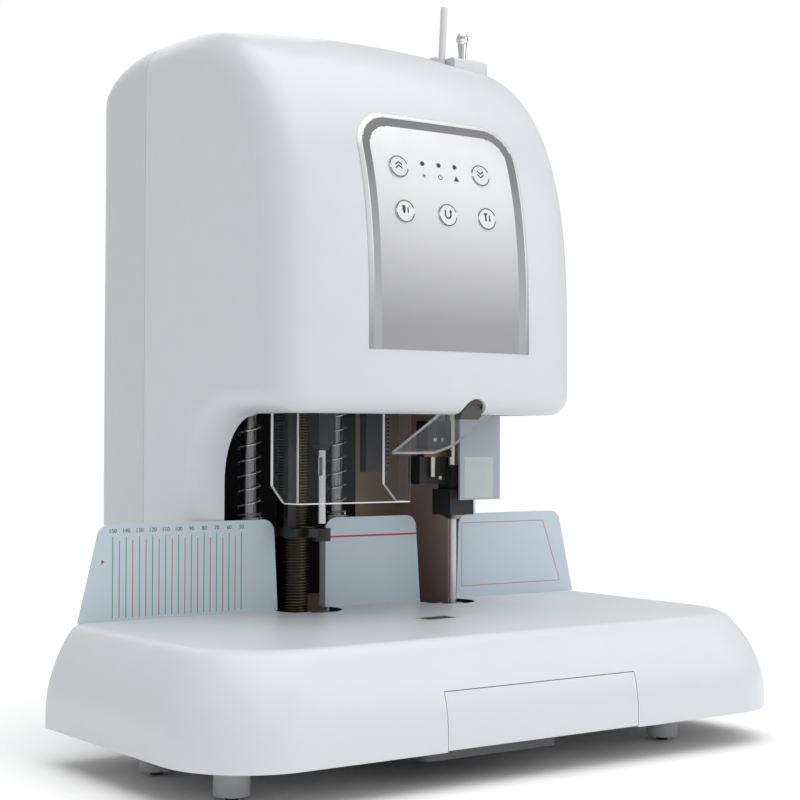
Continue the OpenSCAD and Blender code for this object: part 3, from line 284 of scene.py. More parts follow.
def make_finishes(sizes):
    """All finishes of the machine, by plain names."""
    white = tuple(sizes.shell_colour)
    FINISH.update({
        "shell": finish("white shell", white, 0.36, coat=0.12, bump=0.06, wear=0.008, grain=0.03),
        # Painted shade: the rear cover is the shell white made 7 percent darker.
        "cover": finish("rear cover", tuple(c * 0.93 for c in white), 0.42, bump=0.1, wear=0.01),
        "plate": finish("guide plate", tuple(sizes.plate_colour), 0.38, coat=0.1, wear=0.012, bump=0.03),
        "panel": finish("silver panel", tuple(sizes.panel_colour), 0.42, metal=0.5, wear=0.015,
                        bump=0.08, bump_size=1600),
        "key": finish("silver key", (0.66, 0.665, 0.68), 0.4, metal=0.4, wear=0.01, bump=0.04),
        "mark": finish("dark print", (0.035, 0.036, 0.04), 0.5, wear=0.1),
        "ring": finish("ring print", (0.10, 0.104, 0.11), 0.4, metal=0.3, wear=0.1),
        "lens": finish("lens", (0.012, 0.011, 0.012), 0.12, coat=0.5, wear=0.1),
        "grey": finish("foot grey", (0.44, 0.445, 0.475), 0.55, bump=0.25, wear=0.05),
        "rubber": finish("rubber", (0.035, 0.035, 0.038), 0.75, bump=0.4, wear=0.1),
        "dark": finish("dark plastic", (0.045, 0.046, 0.05), 0.5, bump=0.3, wear=0.12),
        "tray": finish("under tray", (0.075, 0.078, 0.085), 0.55, bump=0.3, wear=0.08),
        "black": finish("blackened steel", (0.018, 0.017, 0.018), 0.42, metal=0.25, bump=0.15, wear=0.2),
        "block": finish("black block", (0.014, 0.014, 0.015), 0.55, bump=0.35, bump_size=1500, wear=0.2),
        "steel": finish("ground steel", (0.52, 0.52, 0.53), 0.24, metal=1.0, wear=0.06,
                        stretch=(1, 1, 0.05), grain_size=500, grain=0.08),
        "dull": finish("dull steel", (0.34, 0.34, 0.345), 0.42, metal=0.9, wear=0.1, bump=0.2),
        "chrome": finish("chrome", (0.72, 0.72, 0.73), 0.07, metal=1.0, grain=0.02, wear=0.02),
        "nickel": finish("nickel", (0.56, 0.52, 0.46), 0.2, metal=1.0, grain=0.06, wear=0.1),
        "brass": finish("brass", (0.46, 0.30, 0.12), 0.33, metal=1.0, wear=0.15, bump=0.1),
        "screw": finish("oiled screw", (0.012, 0.010, 0.009), 0.45, metal=0.5, wear=0.4, grain=0.1,
                        grain_size=180),
        # Painted highlight: the golden rib colour stands for warm glints on the dark screw's thread.
        "rib": finish("screw rib", (0.17, 0.125, 0.065), 0.34, metal=1.0, wear=0.35, grain=0.1,
                      grain_size=140),
        "rod": finish("ground rod", (0.20, 0.20, 0.21), 0.28, metal=1.0, wear=0.12, stretch=(1, 1, 0.05),
                      grain_size=500, grain=0.08),
        "wire": finish("spring wire", (0.78, 0.78, 0.79), 0.25, metal=0.85, wear=0.05),
        # Painted shade: the bevel's dark grey band stands for the shadow along the panel's top and sides.
        "bevel": finish("panel bevel", (0.19, 0.19, 0.205), 0.38, metal=0.5, wear=0.015),
        # Painted highlight on the panel's rounded rim, fading to painted shade towards the bottom.
        "rim": finish("panel rim", (0.70, 0.71, 0.72), 0.3, metal=0.4, wear=0.01),
        # Painted highlight along the bends of the clear guard.
        "bend": finish("acrylic bend", (0.74, 0.77, 0.78), 0.12, coat=0.6, alpha=0.5, wear=0.01),
        "tab": finish("finger tab", (0.060, 0.064, 0.058), 0.5, bump=0.2, wear=0.08),
        "frame": finish("frame paint", (0.085, 0.034, 0.024), 0.5, metal=0.15, bump=0.15, wear=0.15,
                        grain_size=25),
        "tan": finish("rear plate", (0.38, 0.285, 0.195), 0.45, metal=0.25, wear=0.12, grain_size=18,
                      bump=0.1),
        "motor": finish("motor case", (0.10, 0.10, 0.105), 0.4, metal=0.6, wear=0.1, bump=0.2),
        "clear": finish("clear acrylic", (0.50, 0.54, 0.56), 0.04, alpha=0.022, wear=0.01, grain=0.02),
        "veil": finish("clear flap", (0.55, 0.58, 0.62), 0.1, alpha=0.10, wear=0.02, grain=0.02),
        # Painted highlight: the bright glow of light along the clear sheets' edges.
        "edge": finish("acrylic edge", (0.86, 0.89, 0.90), 0.18, alpha=0.9, wear=0.01),
        "shield": finish("hot guard", (0.40, 0.44, 0.49), 0.35, wear=0.01, bump=0.04, coat=0.2),
        "patch": finish("blank patch", (0.50, 0.585, 0.56), 0.4, wear=0.02),
        "nylon": finish("nylon", (0.80, 0.80, 0.79), 0.35, coat=0.2, alpha=0.82, wear=0.02),
        "green": finish("green print", (0.10, 0.36, 0.27), 0.5, wear=0.04),
        "pink": finish("pink print", (0.55, 0.17, 0.20), 0.5, wear=0.04),
        "red": finish("red print", (0.50, 0.02, 0.035), 0.45, wear=0.04),
        "rocker": finish("red rocker", (0.40, 0.015, 0.012), 0.25, coat=0.4, wear=0.05),
        "board": finish("board", (0.01, 0.09, 0.03), 0.35, coat=0.3, wear=0.1),
        "coil": finish("copper coil", (0.38, 0.15, 0.05), 0.4, metal=0.6, wear=0.1),
        "pad": finish("drilling pad", (0.05, 0.07, 0.07), 0.6, bump=0.2, wear=0.1),
        # Painted light: the right frame wall is a much lighter copy of the dark frame paint, standing for
        # light falling on it.
        "lit_frame_side": finish("frame side", (0.84, 0.60, 0.54), 0.45, metal=0.05, wear=0.15, grain_size=12,
                        bump=0.1),
        # Painted shade: near-black matte for the shade inside the table's openings, on the anvil bridge under
        # them and on the sheet behind the drill.
        "pit": finish("table insert", (0.008, 0.008, 0.008), 0.9, wear=0.2),
        "bronze": finish("dark bronze", (0.15, 0.105, 0.055), 0.4, metal=0.9, wear=0.15, bump=0.1),
        "label": finish("blank label", (0.055, 0.052, 0.05), 0.5, wear=0.1),
    })
    # Painted light and shade by height: the panel field and its rim fade darker towards the bottom, and the
    # bevel's painted shade is darkest along the top.
    fade_up(FINISH["bevel"], 300, 400, (0.36, 0.365, 0.38))
    fade_up(FINISH["rim"], 280, 345, (0.34, 0.345, 0.36))
    fade_up(FINISH["panel"], 290, 415, (0.32, 0.32, 0.34))


NODE_FINISH = {
    "base_plate": "dull", "under_tray": "tray", "feet": "grey", "foot_pads": "rubber",
    "guide_plate_left": "plate", "guide_plate_centre": "plate", "guide_plate_right": "plate",
    "front_shell": "shell", "back_cover": "cover", "base_casing": "shell", "chip_drawer": "shell",
    "control_panel": "panel", "led_lenses": "lens",
    "key_up": "key", "key_down": "key", "key_drill": "key", "key_reset": "key", "key_rivet": "key",
    "feed_boss": "shell", "nylon_tube": "nylon", "cutter_lever": "chrome", "tube_cutter": "motor",
    # frame_right takes the lighter, painted-light copy of the frame paint.
    "frame_left": "frame", "frame_right": "lit_frame_side", "frame_back": "tan", "top_deck": "dull",
    "guide_rods": "rod", "drill_carriage": "block", "drill_motor": "motor", "spindle": "black",
    "drill_bit": "steel", "presser_foot": "black", "presser_springs": "wire",
    "lift_screw": "screw", "lift_motor": "motor", "press_screw": "steel", "press_motor": "motor",
    "ram_guide": "dull", "press_ram": "nickel", "heater_block": "block", "nickel_cap": "nickel",
    "brass_clamp": "brass", "guide_needle": "steel", "needle_rack": "block",
    # anvil_bridge takes the near-black painted shade of the pit.
    "anvil_bridge": "pit", "drill_pad": "pad", "lower_die": "steel",
    "acrylic_guard": "clear", "guard_brackets": "dull", "acrylic_flap": "veil", "flap_tab": "tab",
    "hot_shield": "shield", "circuit_board": "board", "transformer": "coil",
    "power_inlet": "dark", "switch_frame": "dark", "power_rocker": "rocker",
    "fan_housing": "dark", "fan_rotor": "dark", "case_screws": "steel",
}


# ---------- the body's form ----------

# Half the body's width, and how far the head stands out before the tools' line.
HALF_W = 129.0
HEAD_FRONT = 73.0
TOP = 501.0
WALL = 2.6
TABLE = 90.0
UNDER = 230.0
FLOOR = 23.0
COLUMN = 36.0
BACK = 196.0
SEAM = 113.6
# The front's arch and the rear top corner: centre in y and z, and how square the curve is.
ARCH = (94.0, 280.0, 2.75)
HEEL = (118.0, 465.0, 2.3)
# The curve from the column into the head: its depth, its height and how square it is.
THROAT = (48.0, 50.0, 2.2)
LIP_R = 12.0
SEAM_HALF = 0.2
NOTCH_X = 27.5
NOTCH_R = 10.8
CROWN = 8.5
SIDE_R = 23.0
EDGE_R = 17.0


def crown_at(x):
    """Bulge of the front and top at a distance from the middle."""
    return CROWN * (1 - (x / HALF_W) ** 2)


def body_ring(x, inset):
    """One closed side outline from the throat round to the back, as (y, z, 0 in the throat or else 1)."""
    lift = crown_at(x)
    a = ARCH[0] + HEAD_FRONT + lift - inset
    b = TOP - ARCH[1] + lift - inset
    front = ARCH[0] - a
    grow = inset * EDGE_R / SIDE_R
    lip = LIP_R - inset / 3
    low = UNDER + grow
    lip_z = low + lip
    ring = []
    cy, cz, ta, tb = COLUMN - THROAT[0], UNDER - THROAT[1], THROAT[0] + grow, THROAT[1] + grow
    bend = 2 / THROAT[2]
    for i in range(13):
        ring.append((COLUMN + grow, FLOOR + (cz - FLOOR) * i / 13, 0))
    for i in range(25):
        t = math.radians(90 * i / 24)
        ring.append((cy + ta * max(math.cos(t), 0) ** bend, cz + tb * math.sin(t) ** bend, 0))
    start = front + lip
    for i in range(1, 9):
        ring.append((cy + (start - cy) * i / 9, low, 0))
    for i in range(9):
        t = math.radians(90 - 90 * i / 8)
        ring.append((front + lip - lip * math.cos(t), lip_z - lip * math.sin(t), 1))
    for i in range(1, 6):
        ring.append((front, lip_z + (ARCH[1] - lip_z) * i / 6, 1))
    for i in range(49):
        t = math.radians(90 * i / 48)
        ring.append((ARCH[0] - a * max(math.cos(t), 0) ** (2 / ARCH[2]),
                     ARCH[1] + b * math.sin(t) ** (2 / ARCH[2]), 1))
    ha, hb = BACK - HEEL[0] - inset, TOP - HEEL[1] + lift - inset
    for i in range(4):
        ring.append((ARCH[0] + (HEEL[0] - ARCH[0]) * (i + 1) / 5, ARCH[1] + b, 1))
    for i in range(17):
        t = math.radians(90 - 90 * i / 16)
        ring.append((HEEL[0] + ha * max(math.cos(t), 0) ** (2 / HEEL[2]),
                     HEEL[1] + hb * max(math.sin(t), 0) ** (2 / HEEL[2]), 1))
    for i in range(1, 13):
        ring.append((BACK - inset, HEEL[1] + (FLOOR - HEEL[1]) * i / 12, 1))
    return ring


def body_rows():
    """(x, inset) of the outlines from the left side to the right one."""
    edge = HALF_W - SIDE_R
    fillet = [(edge + SIDE_R * math.sin(math.radians(9 * i)), SIDE_R * (1 - math.cos(math.radians(9 * i))))
              for i in range(11)]
    middle = [(edge * (i / 9 - 1), 0.0) for i in range(1, 18)]
    return [(-x, inset) for x, inset in reversed(fillet)] + middle + fillet


def body_skin(name, material, keep_front):
    """The smooth outer skin of the body on one side of the seam, with its wall."""
    rows = body_rows()
    rings = [body_ring(x, inset) for x, inset in rows]
    m = len(rings[0])
    verts = [(rows[i][0], p[0], p[1]) for i, ring in enumerate(rings) for p in ring]
    faces = []
    for i in range(len(rings) - 1):
        curved = rows[i][1] > 0 or rows[i + 1][1] > 0
        for k in range(m - 1):
            if rings[i][k + 1][2] == 0 and not curved:
                continue
            faces.append((i * m + k, i * m + k + 1, (i + 1) * m + k + 1, (i + 1) * m + k))
    last = (len(rings) - 1) * m
    faces.append(tuple(range(m)))
    faces.append(tuple(range(last + m - 1, last - 1, -1)))
    obj = mesh_piece(name, verts, faces, material, rides=False)
    face_outwards(obj, (0, 90, 300))
    bm = bmesh.new()
    bm.from_mesh(obj.data)
    gap = -SEAM_HALF if keep_front else SEAM_HALF
    bmesh.ops.bisect_plane(bm, geom=bm.verts[:] + bm.edges[:] + bm.faces[:],
                           plane_co=(0, (SEAM + gap) * MM, 0), plane_no=(0, 1, 0),
                           clear_outer=keep_front, clear_inner=not keep_front)
    bm.to_mesh(obj.data)
    bm.free()
    return thicken(obj, WALL)


def front_point(x, z, out=0.0):
    """A point of the head's front, a little in front of it if wanted, in millimetres."""
    y, lean = front_y(x, z), front_lean(x, z)
    return Vector((x, y - out * math.cos(lean), z + out * math.sin(lean)))


def front_y(x, z):
    """Depth of the head's front at one place."""
    a = ARCH[0] + HEAD_FRONT + crown_at(x)
    b = TOP - ARCH[1] + crown_at(x)
    v = max(0.0, (z - ARCH[1]) / b)
    return ARCH[0] - a * (1 - v ** ARCH[2]) ** (1 / ARCH[2])


def front_lean(x, z):
    """How far the head's front leans back at one place, in radians."""
    return math.atan((front_y(x, z + 1) - front_y(x, z - 1)) / 2)


def front_axes(x, z):
    """Right, up and outwards on the head's front at one place."""
    lean = front_lean(x, z)
    up, normal = Vector((0, math.sin(lean), math.cos(lean))), Vector((0, -math.cos(lean), math.sin(lean)))
    return Vector((1, 0, 0)), up, normal


# ---------- control panel ----------

PANEL = {"x": 6.5, "half": 69.5, "low": 273.0, "high": 436.0, "r": 27.0}
# RIM_END and BEVEL_END also bound the rim's painted highlight and the bevel's painted shade.
# Where the panel's rim and bevel end, counted inwards from its outline, and the panel's thickness.
RIM_END = 3.2
BEVEL_END = 9.5
PANEL_T = 1.2
# A key cap's radius, and how far over the shell the print on it lies.
CAP_R = 7.6
CAP_RISE = 0.94
# Places of the three lamps and the heights of the lamps and of the signs under them.
LAMP_X = (-12.5, 1.5, 15.5)
LAMP_Z = 402
SIGN_Z = 393.5


def panel_depth(x, z):
    """Distance inwards from the panel's outline, with no border at its lower edge."""
    dx = PANEL["half"] - abs(x - PANEL["x"])
    dz = PANEL["high"] - z
    r = PANEL["r"]
    if dx < r and dz < r:
        return r - math.hypot(r - dx, r - dz)
    return min(dx, dz)


def panel_relief(d, z):
    """Height of the panel's face over the shell: a rounded rim, a bevel and the plain field."""
    fade = min(1.0, max(0.0, (z - PANEL["low"]) / 60))
    if d < 3:
        return 0.35 + 1.1 * math.sin(math.radians(90 * max(d, 0) / 3)) * (0.35 + 0.65 * fade)
    if d < BEVEL_END:
        s = (d - 3) / (BEVEL_END - 3)
        return 0.35 + 1.1 * (0.35 + 0.65 * fade) * (1 - s) - 0.1 * s
    return 0.25


def panel_mesh():
    """The panel's face as a grid whose rows end on its outline."""
    r, high, low = PANEL["r"], PANEL["high"], PANEL["low"]
    heights = [low + (high - r - low) * j / 130 for j in range(130)]
    heights += [high - r + r * math.sin(math.radians(90 * j / 44)) for j in range(45)]
    columns = 171
    verts, faces = [], []
    for z in heights:
        over = max(0.0, z - (high - r))
        half = PANEL["half"] - r + math.sqrt(max(0.0, r * r - over * over))
        for i in range(columns):
            x = PANEL["x"] + half * (2 * i / (columns - 1) - 1)
            verts.append(front_point(x, z, panel_relief(max(0.0, panel_depth(x, z)), z)))
    for j in range(len(heights) - 1):
        for i in range(columns - 1):
            k = j * columns + i
            faces.append((k, k + 1, k + columns + 1, k + columns))
    return verts, faces


def flat_mark(shapes, x, z, out, thick=0.12):
    """Thin printed shapes, given as flat outlines in millimetres, laid on the front at one place."""
    right, up, normal = front_axes(x, z)
    base = front_point(x, z, out)
    parts = []
    for shape in shapes:
        n = len(shape)
        lower = [base + right * p[0] + up * p[1] for p in shape]
        upper = [p + normal * thick for p in lower]
        faces = [tuple(range(n, 2 * n))] + [(i, (i + 1) % n, n + (i + 1) % n, n + i) for i in range(n)]
        parts.append((lower + upper, faces))
    return joined(parts)


def arc_band(r0, r1, start, end, steps=20):
    """The outline of a piece of a ring."""
    return arc(0, 0, r1, start, end, steps) + arc(0, 0, r0, start, end, steps)[::-1]


def stroke(points, width):
    """Short bars along a broken line."""
    shapes = []
    for (x0, y0), (x1, y1) in zip(points, points[1:]):
        length = math.hypot(x1 - x0, y1 - y0)
        nx, ny = -(y1 - y0) / length * width / 2, (x1 - x0) / length * width / 2
        shapes.append([(x0 - nx, y0 - ny), (x1 - nx, y1 - ny), (x1 + nx, y1 + ny), (x0 + nx, y0 + ny)])
    return shapes


def dot(x, y, r):
    """A small round outline."""
    return [(x + p, y + q) for p, q in circle(r, 20)]


def chevrons(tips, rise):
    """Two short angles over each other, with their tips at given heights."""
    return [bar for z in tips for bar in stroke([(-2.8, z - rise), (0, z), (2.8, z - rise)], 0.9)]


KEYS = {
    "key_up": (-33.0, 398.0, "button_up"), "key_down": (38.0, 398.0, "button_down"),
    "key_drill": (-32.0, 367.0, "button_drill"), "key_reset": (4.0, 367.0, "button_reset"),
    "key_rivet": (39.0, 367.0, "button_rivet"),
}


def key_symbol(name):
    """The generic sign on one key."""
    if name == "key_up":
        return chevrons((3.4, 0.8), 2.2)
    if name == "key_down":
        return chevrons((1.0, -1.6), -2.2)
    if name == "key_drill":
        return [[(-2.4, 4), (0.1, 4), (0.1, 0.6), (-0.6, -1.6), (-1.7, -1.6), (-2.4, 0.6)],
                [(1.7, 2.6), (2.7, 2.6), (2.7, -0.6), (2.2, -1.8), (1.7, -0.6)]]
    if name == "key_rivet":
        return [[(-2.8, 4), (0.4, 4), (0.4, 3), (-0.5, 2.4), (-0.5, -1.8), (-1.9, -1.8), (-1.9, 2.4),
                 (-2.8, 3)],
                [(1.7, 2.6), (2.7, 2.6), (2.9, -1.8), (1.5, -1.8)]]
    return [arc_band(1.7, 2.9, 180, 360)] + [[(-2.9, 3.4), (-1.7, 3.4), (-1.7, 0), (-2.9, 0)],
            [(1.7, 2.2), (2.9, 2.2), (2.9, 0), (1.7, 0)], [(0.9, 2.0), (3.7, 2.0), (2.3, 4.0)]]


# ---------- rows, bolts and upright marks ----------

def repeated(name, one, count, step, start, material, body, slot, smooth=False):
    """Copies of one small mesh in a row, as one piece on one body."""
    verts, faces = one
    places = [Vector(start) + Vector(step) * i for i in range(count)]
    copies = [([Vector(v) + place for v in verts], faces) for place in places]
    return mesh_piece(name, *joined(copies), material, body, slot, smooth=smooth)


def bolt(place, r, h):
    """A socket-head screw's head with its round recess, pointing to the front."""
    side = FRONTWARD.orthogonal().normalized()
    other = FRONTWARD.cross(side)
    profile = ((r, 0), (r, h * 0.85), (r * 0.9, h), (r * 0.55, h), (r * 0.5, h * 0.35), (0.01, h * 0.3))
    return ring_mesh([[Vector(place) + FRONTWARD * rise + side * p + other * q for p, q in circle(wide, 24)]
                      for wide, rise in profile])


def upright_marks(shapes, low, high):
    """Thin prints on the guide plates' fronts, given as outlines in x and z, between two depths."""
    parts = []
    for shape in shapes:
        n = len(shape)
        points = [(x, y, z) for y in (high, low) for x, z in shape]
        walls = [(i, (i + 1) % n, n + (i + 1) % n, n + i) for i in range(n)]
        parts.append((points, [tuple(range(n, 2 * n))] + walls))
    return joined(parts)


# ---------- operators ----------

class RiveterSizes(bpy.types.PropertyGroup):
    """Sizes and colours of the machine's finish."""
    shell_colour: bpy.props.FloatVectorProperty(
        name="Shell colour", description="Colour of the white casings", default=(0.635, 0.655, 0.685),
        subtype="COLOR", size=3, min=0, max=1)
    plate_colour: bpy.props.FloatVectorProperty(
        name="Guide plate colour", description="Colour of the guide plates", default=(0.52, 0.62, 0.685),
        subtype="COLOR", size=3, min=0, max=1)
    panel_colour: bpy.props.FloatVectorProperty(
        name="Panel colour", description="Colour of the control panel", default=(0.76, 0.765, 0.78),
        subtype="COLOR", size=3, min=0, max=1)
    thread_pitch: bpy.props.FloatProperty(
        name="Thread pitch", description="Distance between the ribs of the lift screw", default=0.0021,
        unit="LENGTH", min=0.0015, max=0.005)
    line_width: bpy.props.FloatProperty(
        name="Line width", description="Width of the printed scale lines", default=0.0007,
        unit="LENGTH", min=0.0003, max=0.0015)


class RIVETER_OT_finishes(bpy.types.Operator):
    """Gives every solid of the model its finish"""
    bl_idname = "riveter.finishes"
    bl_label = "Finishes"

    def execute(self, context):
        make_finishes(context.scene.riveter_sizes)
        for node, name in NODE_FINISH.items():
            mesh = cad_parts[node].data
            mesh.materials.clear()
            mesh.materials.append(FINISH[name])
        return {"FINISHED"}


class RIVETER_OT_camera(bpy.types.Operator):
    """Places the camera where the machine is seen at its usual angle"""
    bl_idname = "riveter.camera"
    bl_label = "Camera"

    def execute(self, context):
        camera = bpy.data.objects.new("camera", bpy.data.cameras.new("camera"))
        context.scene.collection.objects.link(camera)
        camera.data.lens = 77.49
        camera.data.sensor_width = 36
        camera.data.clip_end = 20
        yaw, pitch, roll = math.radians(35.961), math.radians(1.082), math.radians(0.188)
        ahead = Vector((math.sin(yaw) * math.cos(pitch), math.cos(yaw) * math.cos(pitch), math.sin(pitch)))
        right = Vector((math.cos(yaw), -math.sin(yaw), 0))
        up = right.cross(ahead)
        right2 = right * math.cos(roll) + up * math.sin(roll)
        up2 = -right * math.sin(roll) + up * math.cos(roll)
        turn = Matrix((right2, up2, -ahead)).transposed().to_4x4()
        place = Vector((-717.2, -1016.1, 217.3)) + CENTRE
        camera.matrix_world = Matrix.Translation(place * MM) @ turn
        context.scene.camera = camera
        return {"FINISHED"}


class RIVETER_OT_stage(bpy.types.Operator):
    """Adds the pale floor and the soft studio light"""
    bl_idname = "riveter.stage"
    bl_label = "Stage"

    def execute(self, context):
        verts, faces = box_mesh((-4000, -4000, -4), (4000, 4000, -0.2))
        floor = mesh_piece("floor", verts, faces, finish("floor", (0.96, 0.96, 0.96), 0.9, wear=0.003),
                           rides=False, smooth=False)
        world = bpy.data.worlds.new("studio")
        world.use_nodes = True
        nodes, links = world.node_tree.nodes, world.node_tree.links
        glow = nodes["Background"]
        glow.inputs["Color"].default_value = (1, 1, 1, 1)
        glow.inputs["Strength"].default_value = 0.5
        backdrop = nodes.new("ShaderNodeBackground")
        backdrop.inputs["Color"].default_value = (1, 1, 1, 1)
        rays = nodes.new("ShaderNodeLightPath")
        choice = nodes.new("ShaderNodeMixShader")
        links.new(rays.outputs["Is Camera Ray"], choice.inputs["Fac"])
        links.new(glow.outputs["Background"], choice.inputs[1])
        links.new(backdrop.outputs["Background"], choice.inputs[2])
        links.new(choice.outputs["Shader"], nodes["World Output"].inputs["Surface"])
        context.scene.world = world
        context.scene.view_settings.view_transform = "Standard"
        sky = bpy.data.lights.new("sky", "SUN")
        sky.energy = 1.9
        sky.angle = math.radians(70)
        lamp = bpy.data.objects.new("sky", sky)
        context.scene.collection.objects.link(lamp)
        lamp.rotation_euler = (math.radians(8), math.radians(6), 0)
        for name, place, aim, size, power in (
            ("key", (1300, -1500, 1000), (0, 0, 250), 1.2, 7),
            ("front", (-350, -1900, 700), (0, 0, 250), 1.4, 2),
            ("back", (300, 1500, 1000), (0, 0, 250), 1.2, 4),
        ):
            light = bpy.data.lights.new(name, "AREA")
            light.size = size
            light.energy = power
            obj = bpy.data.objects.new(name, light)
            context.scene.collection.objects.link(obj)
            obj.location = Vector(place) * MM
            obj.rotation_euler = (Vector(aim) * MM - obj.location).to_track_quat("-Z", "Y").to_euler()
        return {"FINISHED"}


BOSS_R = 8
BOSS_TOP = 500


def boss_outline(grow):
    """The round-cornered plan of the feed boss."""
    r = BOSS_R + grow
    points = []
    for i, (cx, cy) in enumerate(((100, 20), (66, 20), (66, 12), (100, 12))):
        points += arc(cx, cy, r, 90 * i, 90 * i + 90, 8)
    return points


class RIVETER_OT_body(bpy.types.Operator):
    """Makes the smooth head and column with their wall, notch and rear openings"""
    bl_idname = "riveter.body"
    bl_label = "Body shells"

    def execute(self, context):
        front = body_skin("head shell", FINISH["shell"], True)
        notch = ring_mesh([[(NOTCH_X + x, y, UNDER + z) for x, z in circle(NOTCH_R, 48)] for y in (-90, -62)])
        boss = ring_mesh([[(x, y, z) for x, y in boss_outline(0.05)] for z in (468, 520)])
        cut_away(front, [notch, boss])
        sharpen(front, 40)
        settle(front, "machine")
        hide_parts("front_shell")
        rear = body_skin("rear shell", FINISH["cover"], False)
        inner, outer = BACK - 6, BACK + 2
        slots = [box_mesh((-44, inner, 330 + 9 * i), (44, outer, 333.4 + 9 * i)) for i in range(9)]
        fan_x, fan_z, fan_r = 58, 238, 25
        for z in range(fan_z - 20, fan_z + 21, 8):
            half = math.sqrt(fan_r ** 2 - (z - fan_z) ** 2)
            slots.append(box_mesh((fan_x - half, inner, z), (fan_x + half, outer, z + 4)))
        slots.append(box_mesh((-84.3, inner, 61.7), (-55.7, outer, 82.3)))
        slots.append(box_mesh((-46.3, inner, 61.7), (-30.7, outer, 83.3)))
        cut_away(rear, slots)
        sharpen(rear, 40)
        settle(rear, "machine")
        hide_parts("back_cover")
        return {"FINISHED"}


BASE_HALF = 218
BASE_FRONT = 162
BASE_BACK = 36
BASE_R = 59
BASE_DROP = 67
PLATE_LINE = 33.3
OPENINGS = (("drill opening rim", 24.5, (-42, 26)), ("rivet opening rim", 21, (79, 20)))


def base_outline(grow):
    """The base's plan, from the back left corner round the front to the back right one."""
    half, front, r = BASE_HALF + grow, -BASE_FRONT - grow, BASE_R
    points = [(-half, BASE_BACK), (-half, 0), (-half, -50)]
    points += arc(-half + r, front + r, r, 180, 270, 16)
    for i in range(1, 20):
        points.append((-half + r + (2 * half - 2 * r) * i / 20, front))
    points += arc(half - r, front + r, r, 270, 360, 16)
    return points + [(half, -50), (half, 0), (half, BASE_BACK)]


def base_flare(s):
    """How far the apron stands out at a share of its height, counted from the table down."""
    return 22 * math.sin(math.radians(90 * min(1, s / 0.85))) ** 0.75


class RIVETER_OT_base(bpy.types.Operator):
    """Makes the smooth base casing with its table openings and the drawer front"""
    bl_idname = "riveter.base"
    bl_label = "Base casing"

    def execute(self, context):
        edge = [(-3.2, TABLE), (-1.6, TABLE - 0.25), (0.2, TABLE - 0.9), (1.6, TABLE - 1.9)]
        shares = [0.05 + 0.95 * i / 26 for i in range(27)]
        rows = edge + [(base_flare(s), TABLE - BASE_DROP * s) for s in shares if base_flare(s) > 2.0]
        rings = [[(p[0], p[1], z) for p in base_outline(g)] for g, z in rows]
        m = len(rings[0])
        verts = [p for ring in rings for p in ring]
        faces = [(i * m + k, i * m + k + 1, (i + 1) * m + k + 1, (i + 1) * m + k)
                 for i in range(len(rings) - 1) for k in range(m - 1)]
        faces.append(tuple(range(m)))
        base = mesh_piece("base shell", verts, faces, FINISH["shell"], rides=False)
        face_outwards(base, (0, -60, 30))
        thicken(base, 2.8)
        holes = [turned([(r, 80), (r, 95)], place, 64) for name, r, place in OPENINGS]
        window = box_mesh((-76.5, -200, 15), (82.5, -100, 59.5))
        cut_away(base, holes + [window])
        sharpen(base, 35)
        settle(base, "machine")
        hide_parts("base_casing")
        behind = box_mesh((-300, PLATE_LINE, 70), (300, 100, 100))
        # Near-black rims lining the openings paint the shade inside them.
        for name, hole_r, place in OPENINGS:
            r, inner_r = hole_r - 0.05, hole_r - 0.3
            rim = mesh_piece(name, *turned([(r, TABLE - 2.7), (r, TABLE - 0.2)], place, 64), FINISH["pit"],
                             rides=False)
            cut_away(rim, [turned([(inner_r, 80), (inner_r, 95)], place, 64), behind])
            sharpen(rim, 30)
            settle(rim, "machine")
        front = []
        heights = [24 + 35 * j / 16 for j in range(17)]
        for inner in (0, 3):
            for z in heights:
                y = -BASE_FRONT - base_flare((TABLE - z) / BASE_DROP) + inner + 0.05
                front.append([(-76 + 158 * i / 30, y, z) for i in range(31)])
        outer, inner = front[:17], front[17:]
        rings = [o + list(reversed(n)) for o, n in zip(outer, inner)]
        drawer = mesh_piece("drawer front", *ring_mesh(rings), FINISH["shell"], rides=False)
        face_outwards(drawer, (3, -180, 41))
        sharpen(drawer, 40)
        sheets = (((-72, -176, 26.3), (78, -36, 28.3)), ((-72, -178, 26.3), (-70, -36, 56)),
                  ((76, -178, 26.3), (78, -36, 56)), ((-70, -38, 28.3), (76, -36, 56)))
        mesh_piece("drawer tray", *joined([box_mesh(*corners) for corners in sheets]), FINISH["shell"],
                   "drawer", "shell", smooth=False)
        settle(drawer, "drawer")
        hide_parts("chip_drawer")

        def edge_at(z):
            return BASE_HALF - 0.5 + base_flare((TABLE - z) / BASE_DROP)

        wings = []
        for side in (-1, 1):
            heights = [24 + 4 * i for i in range(14)]
            outline = [(side * edge_at(z), z) for z in heights] + [(side * 122, 76), (side * 122, 24)]
            wings.append(outline)
        heights = [76, 79, 82, 85, 87]
        wings.append([(edge_at(z) - 1.2, z) for z in heights]
                     + [(-edge_at(z) + 1.2, z) for z in reversed(heights)])
        walls = [ring_mesh([[(x, y, z) for x, z in outline] for y in (33.2, 35.9)]) for outline in wings]
        mesh_piece("base back wall", *joined(walls), FINISH["shell"], "machine", "shell", smooth=False)
        return {"FINISHED"}


